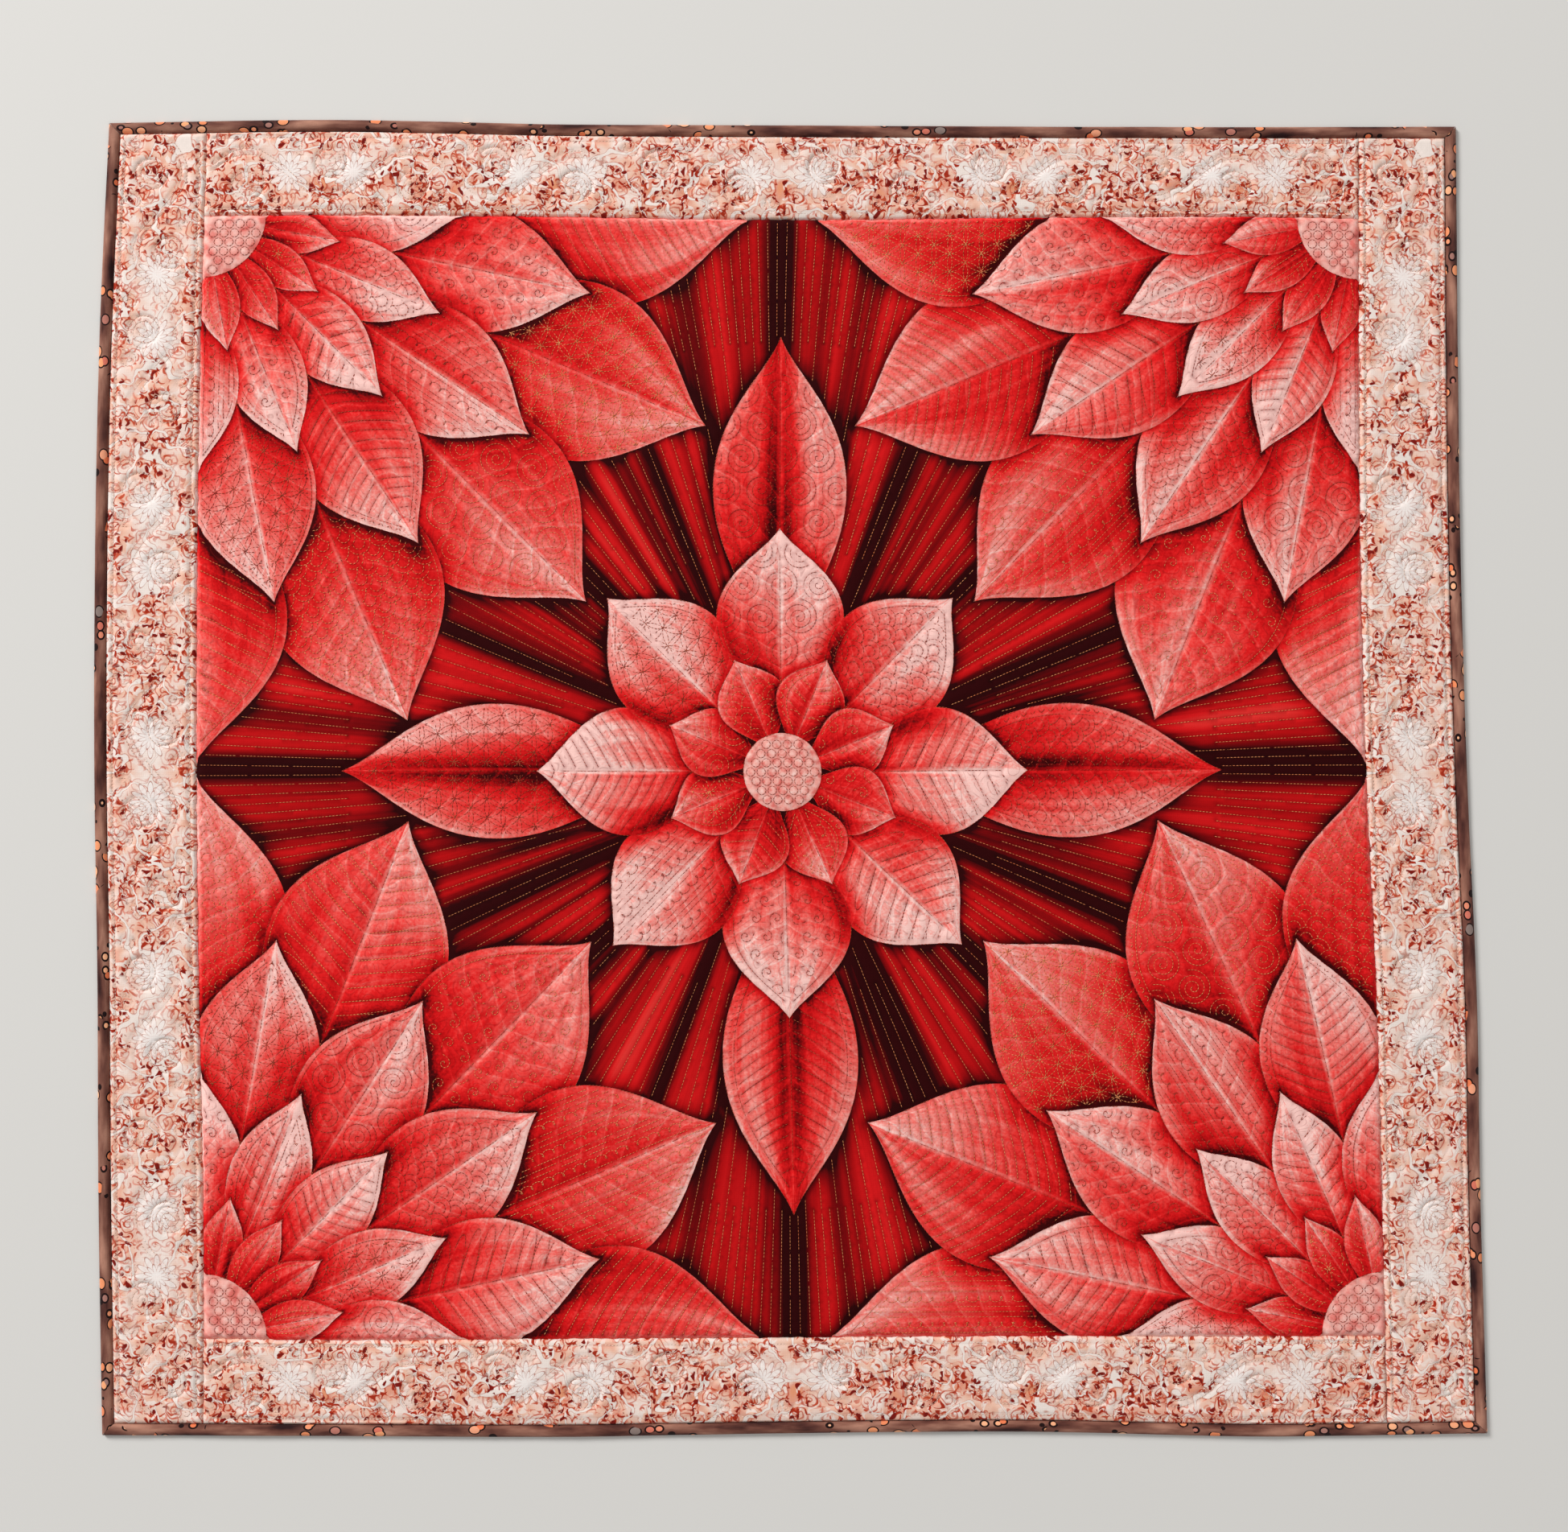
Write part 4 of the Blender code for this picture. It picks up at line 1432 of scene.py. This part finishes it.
# The strokes under the white ribbons, each with its sizes in the order in which its function has them.
UNDER_STROKES = (
    # form, sizes, strength, tint
    (commas, (0.0120, 0.0046, 0.0019, 1.6, 0.90), 0.80, "#eedfd6"),
    (commas, (0.0088, 0.0035, 0.0009, 1.5, 0.85), 0.75, "#d9745c"),
    (scrolls, (0.0230, 0.0100, 0.0042, 0.0006, 0.75), 0.80, "#bb4a32"),
    (commas, (0.0076, 0.0031, 0.0010, 1.4, 0.80), 0.95, "#bd4526"),
)


def daisies(add, colour, away, heading):
    """White daisies of two whorls, with a thin outline, laid over the colour."""
    for radius, turn in WHORLS:
        lobes = add("Math", (summed(add, turn, (heading, DAISY_PETALS / 2)),), operation="COSINE")[0]
        petals = add("Math", (lobes,), operation="ABSOLUTE")[0]
        inside = summed(add, -PETAL_MIDDLE * radius, (away, 1.0), (petals, -PETAL_WAVE * radius))
        colour = painted(add, colour, "#efe6e1", add("MapRange", (inside, *PETAL_PAINT))[0], 0.66)
        off_edge = add("Math", (inside,), operation="ABSOLUTE")[0]
        colour = painted(add, colour, "#a5604e", add("MapRange", (off_edge, *PETAL_EDGE))[0], 0.75)
    return colour


def border_cotton(name, mirrored_across):
    """Printed quilting cotton: cream, rose and peach under rusty commas and scrolls, with white ribbons,
    maroon drops in clusters and white daisies. Clusters and daisies repeat, mirrored, every 215 mm."""
    material, add = new_material(name, 0.90, 0.05)
    place = add("UVMap", (), uv_map="strip")[0]
    along, across, _ = add("SeparateXYZ", (place,))
    drift = add("TexNoise", {"Vector": place, "Scale": 90.0, "Detail": 1.0})["Color"]
    drift = add("VectorMath", (drift, (0.5, 0.5, 0.5)), operation="SUBTRACT")[0]
    strayed = (drift, (PRINT_DRIFT, PRINT_DRIFT, 0.0), place)
    uneven = add("VectorMath", strayed, operation="MULTIPLY_ADD")[0]
    along = add("Math", (along, BORDER_REPEAT), operation="PINGPONG")[0]
    if mirrored_across:
        across = add("Math", (across,), operation="ABSOLUTE")[0]
    where = add("CombineXYZ", (along, across))[0]
    away, heading = from_point(add, along, across, DAISY_PLACE)
    from_cluster, _ = from_point(add, along, across, CLUSTER_PLACE)
    crowd = summed(
        add,
        add("TexNoise", {"Vector": where, "Scale": 30.0, "Detail": 2.0})[0],
        # part, weight
        (add("MapRange", (from_cluster, *NEAR_CLUSTER))[0], 0.14),
        (add("MapRange", (away, *NEAR_DAISY))[0], -0.16),
    )
    busy = add("MapRange", (crowd, *BUSY))[0]
    dense = add("MapRange", (crowd, *DENSE))[0]
    zones = add("TexNoise", {"Vector": where, "Scale": 47.0, "Detail": 1.0})[0]
    colour = add("ValToRGB", (summed(add, 0.0, (zones, 0.5), (crowd, 0.5)),), BORDER_INKS)[0]
    for form, sizes, strength, tint in UNDER_STROKES:
        colour = painted(add, colour, tint, form(add, uneven, *sizes), busy, strength)
    winding = add("TexNoise", {"Vector": uneven, "Scale": 24.0, "Detail": 1.0})[0]
    bands = add("Math", (product(add, winding, RIBBON_BANDS), 0.5), operation="PINGPONG")[0]
    for outer, inner, strength, tint in RIBBONS:
        colour = painted(add, colour, tint, add("MapRange", (bands, outer, inner))[0], strength)
    for *sizes, tint in DROPS:
        colour = painted(add, colour, tint, commas(add, uneven, *sizes), dense)
    # The daisies, then painted shade in the creases of the quilting.
    colour = painted_crease_shade(add, daisies(add, colour, away, heading), 0.22)
    return finished(material, colour, woven(add))


# The batik: how tightly its dyes run along and across the strip, where its pebbles crowd, the share of places
# in a crowd that stay bare, and how far a pebble's outline and the pebble reach into its cell.
DYE_RUN = (14.0, 45.0, 0.0)
PEBBLE_CROWD = 0.49
BARE_PLACES = 0.30
OUTLINE_REACH = 0.47
PEBBLE_REACH = 0.37


def binding_batik():
    """Hand-dyed batik cotton: browns that run into each other, with outlined pebbles left by the wax."""
    material, add = new_material("dyed_batik_cotton", 0.80, 0.10)
    place = add("UVMap", (), uv_map="strip")[0]
    stretched = add("VectorMath", (place, DYE_RUN), operation="MULTIPLY")[0]
    depth = add("TexNoise", {"Vector": stretched, "Scale": 1.0, "Detail": 4.0})[0]
    colour = add("ValToRGB", (depth,), BATIK_DYES)[0]
    cells = add("TexVoronoi", {"Vector": place, "Scale": 78.0, "Randomness": 0.85})
    chance, tone, _ = add("SeparateColor", (cells["Color"],))
    crowd = add("TexNoise", {"Vector": place, "Scale": 13.0, "Detail": 0.5})[0]
    crowded = add("Math", (crowd, PEBBLE_CROWD), operation="GREATER_THAN")[0]
    waxed = add("Math", (chance, BARE_PLACES), operation="GREATER_THAN")[0]
    wax_dye = add("ValToRGB", (tone,), PEBBLE_DYES)[0]
    for reach, tint in ((OUTLINE_REACH, "#1d0c0c"), (PEBBLE_REACH, wax_dye)):
        inside = add("Math", (cells["Distance"], reach), operation="LESS_THAN")[0]
        colour = painted(add, colour, tint, inside, crowded, waxed)
    return finished(material, colour, woven(add))


def sewing_thread(name, dark, light):
    """Polyester thread with a soft shine, whose colour drifts a little along its length."""
    material, add = new_material(name, 0.50, 0.0)
    place = add("TexCoord", ())["Object"]
    drift = add("TexNoise", {"Vector": place, "Scale": 1 / THREAD_DRIFT, "Detail": 2.0})[0]
    return finished(material, add("ValToRGB", (drift,), ((0.3, dark), (0.7, light)))[0])


def plain_backing():
    """Plain dyed cotton on the hidden back."""
    material, add = new_material("plain_backing_cotton", 0.90, 0.10)
    place = add("TexCoord", ())["Object"]
    drift = add("TexNoise", {"Vector": place, "Scale": 1 / DYE_DRIFT, "Detail": 4.0})[0]
    return finished(material, add("ValToRGB", (drift,), BACKING_DYES)[0], woven(add))


def floor_plaster():
    """A plain pale floor, matt."""
    material, _ = new_material("pale_matt_floor", 0.95, 0.0)
    material.node_tree.nodes["Principled BSDF"].inputs["Base Color"].default_value = linear("#d6d4d0")
    return material


# Assembly


def cut_size(box):
    return box[1] - box[0], box[3] - box[2]


def shrunk(left, right, bottom, top):
    """A piece's rectangle, smaller by its share of the gap at each seam."""
    half_gap = SEAM_GAP / 2
    return (left + half_gap, right - half_gap, bottom + half_gap, top - half_gap)


def make_panel(cotton, backing, dark_thread, light_thread):
    box = shrunk(-PANEL_WIDTH / 2, PANEL_WIDTH / 2, -PANEL_HEIGHT / 2, PANEL_HEIGHT / 2)
    mains = main_lines()
    main_tree = tree_of(mains, FINE_STEP)
    on_pale, on_deep, coarse = leaf_fillings(main_tree)
    pebbles, coarse_pebbles = heart_pebbles()
    rays, coarse_rays = ground_rays(main_tree)
    lines = [evenly_spaced(line, MAIN_STEP) for line in mains] + coarse + coarse_pebbles + coarse_rays
    tree = tree_of(lines, FINE_STEP)
    height_at = partial(cloth_heights, box=box, all_tree=tree, main_tree=main_tree, loft=SMALL_LOFT)
    panel, flat = padded_sheet("panel_cloth", box, lines, tree, height_at, PANEL_STEP, cotton, backing)
    print_on_leaves(panel.data, flat)
    stitches = [
        stitch_mesh(name, sewn, height_at, thread)
        for name, sewn, thread in (
            ("leaf_outline_stitches", mains, dark_thread),
            ("pale_leaf_filling_stitches", on_pale + pebbles, dark_thread),
            ("deep_leaf_filling_stitches", on_deep, light_thread),
            ("ground_stitches", rays, light_thread),
        )
    ]
    return panel, stitches, cut_size(box)


def declare(piece, node, stitches):
    """Attaches a piece of cloth and its stitches to the root body, and hides the solid named by the node."""
    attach(piece, "root")
    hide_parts(node)
    for stitched in stitches:
        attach(stitched, "root")


FLOOR_REACH = 6.0
LIGHTS = (
    # name, place, size, energy
    ("key_light", (-6.0, 6.0, 5.1), 3.0, 1040.0),
    ("fill_light", (3.0, -3.0, 5.0), 4.0, 60.0),
)


def make_floor():
    bm = bmesh.new()
    bmesh.ops.create_grid(bm, x_segments=2, y_segments=2, size=FLOOR_REACH)
    new_object("floor", mesh_of(bm, "floor"), floor_plaster())


def make_lights():
    """Soft studio light, stronger from the upper left, so that the quilting shows."""
    world = bpy.data.worlds.new("studio")
    world.use_nodes = True
    background = world.node_tree.nodes["Background"]
    background.inputs["Color"].default_value = (1.0, 0.99, 0.98, 1.0)
    background.inputs["Strength"].default_value = 0.37
    bpy.context.scene.world = world
    for name, place, size, energy in LIGHTS:
        light = bpy.data.lights.new(name, "AREA")
        light.size = size
        light.energy = energy
        lamp = new_object(name, light)
        lamp.location = place
        lamp.rotation_euler = (-Vector(place)).to_track_quat("-Z", "Y").to_euler()


# The photograph's camera, fitted to the corners of the quilt and of its panel.
LENS = 36.02
SENSOR = 36.0
CAMERA_TURNS = (-1.94, 0.29, 0.21)
QUILT_FROM_CAMERA = (0.0055, -0.0041, -1.4498)


def make_camera():
    turns = [Matrix.Rotation(math.radians(angle), 3, axis) for angle, axis in zip(CAMERA_TURNS, "XYZ")]
    world_to_camera = turns[2] @ turns[1] @ turns[0]
    camera_data = bpy.data.cameras.new("photo_camera")
    camera_data.lens = LENS
    camera_data.sensor_width = SENSOR
    camera = new_object("photo_camera", camera_data)
    camera_to_world = world_to_camera.transposed()
    place = -(camera_to_world @ Vector(QUILT_FROM_CAMERA)) - Vector((*MIDDLE, 0))
    camera.matrix_world = Matrix.Translation(place) @ camera_to_world.to_4x4()
    bpy.context.scene.camera = camera


def dress_throw():
    make_camera()
    make_lights()
    make_floor()
    backing = plain_backing()
    red_thread = sewing_thread("red_brown_polyester_thread", "#8c2620", "#b65a3c")
    gold_thread = sewing_thread("old_gold_polyester_thread", "#cc6a40", "#e59a66")
    soft_thread = sewing_thread("peach_polyester_thread", "#e2b9a2", "#f3d9c8")
    panel, stitches, size = make_panel(panel_cotton(), backing, red_thread, gold_thread)
    declare(panel, "centre_panel", stitches)
    inner_x, inner_y = PANEL_WIDTH / 2, PANEL_HEIGHT / 2
    outer_x, outer_y = BORDERED_WIDTH / 2, BORDERED_HEIGHT / 2
    side_cotton = border_cotton("printed_border_cotton_side", True)
    end_cotton = border_cotton("printed_border_cotton_end", False)
    for side, box in (
        ("left", shrunk(-outer_x, -inner_x, -outer_y, outer_y)),
        ("right", shrunk(inner_x, outer_x, -outer_y, outer_y)),
        ("top", shrunk(-inner_x, inner_x, inner_y, outer_y)),
        ("bottom", shrunk(-inner_x, inner_x, -outer_y, -inner_y)),
    ):
        upright = side in ("left", "right")
        cotton = side_cotton if upright else end_cotton
        strip, stitches, size = border_strip(
            f"border_{side}_cloth", box, upright, cotton, backing, soft_thread
        )
        declare(strip, "border_" + side, [stitches])
    batik = binding_batik()
    for quarter_turns, side in enumerate(("top", "left", "bottom", "right")):
        strip = binding_strip(f"binding_{side}_cloth", quarter_turns, batik)
        declare(strip, "binding_" + side, [])
    bpy.context.scene.view_settings.view_transform = "Standard"


dress_throw()
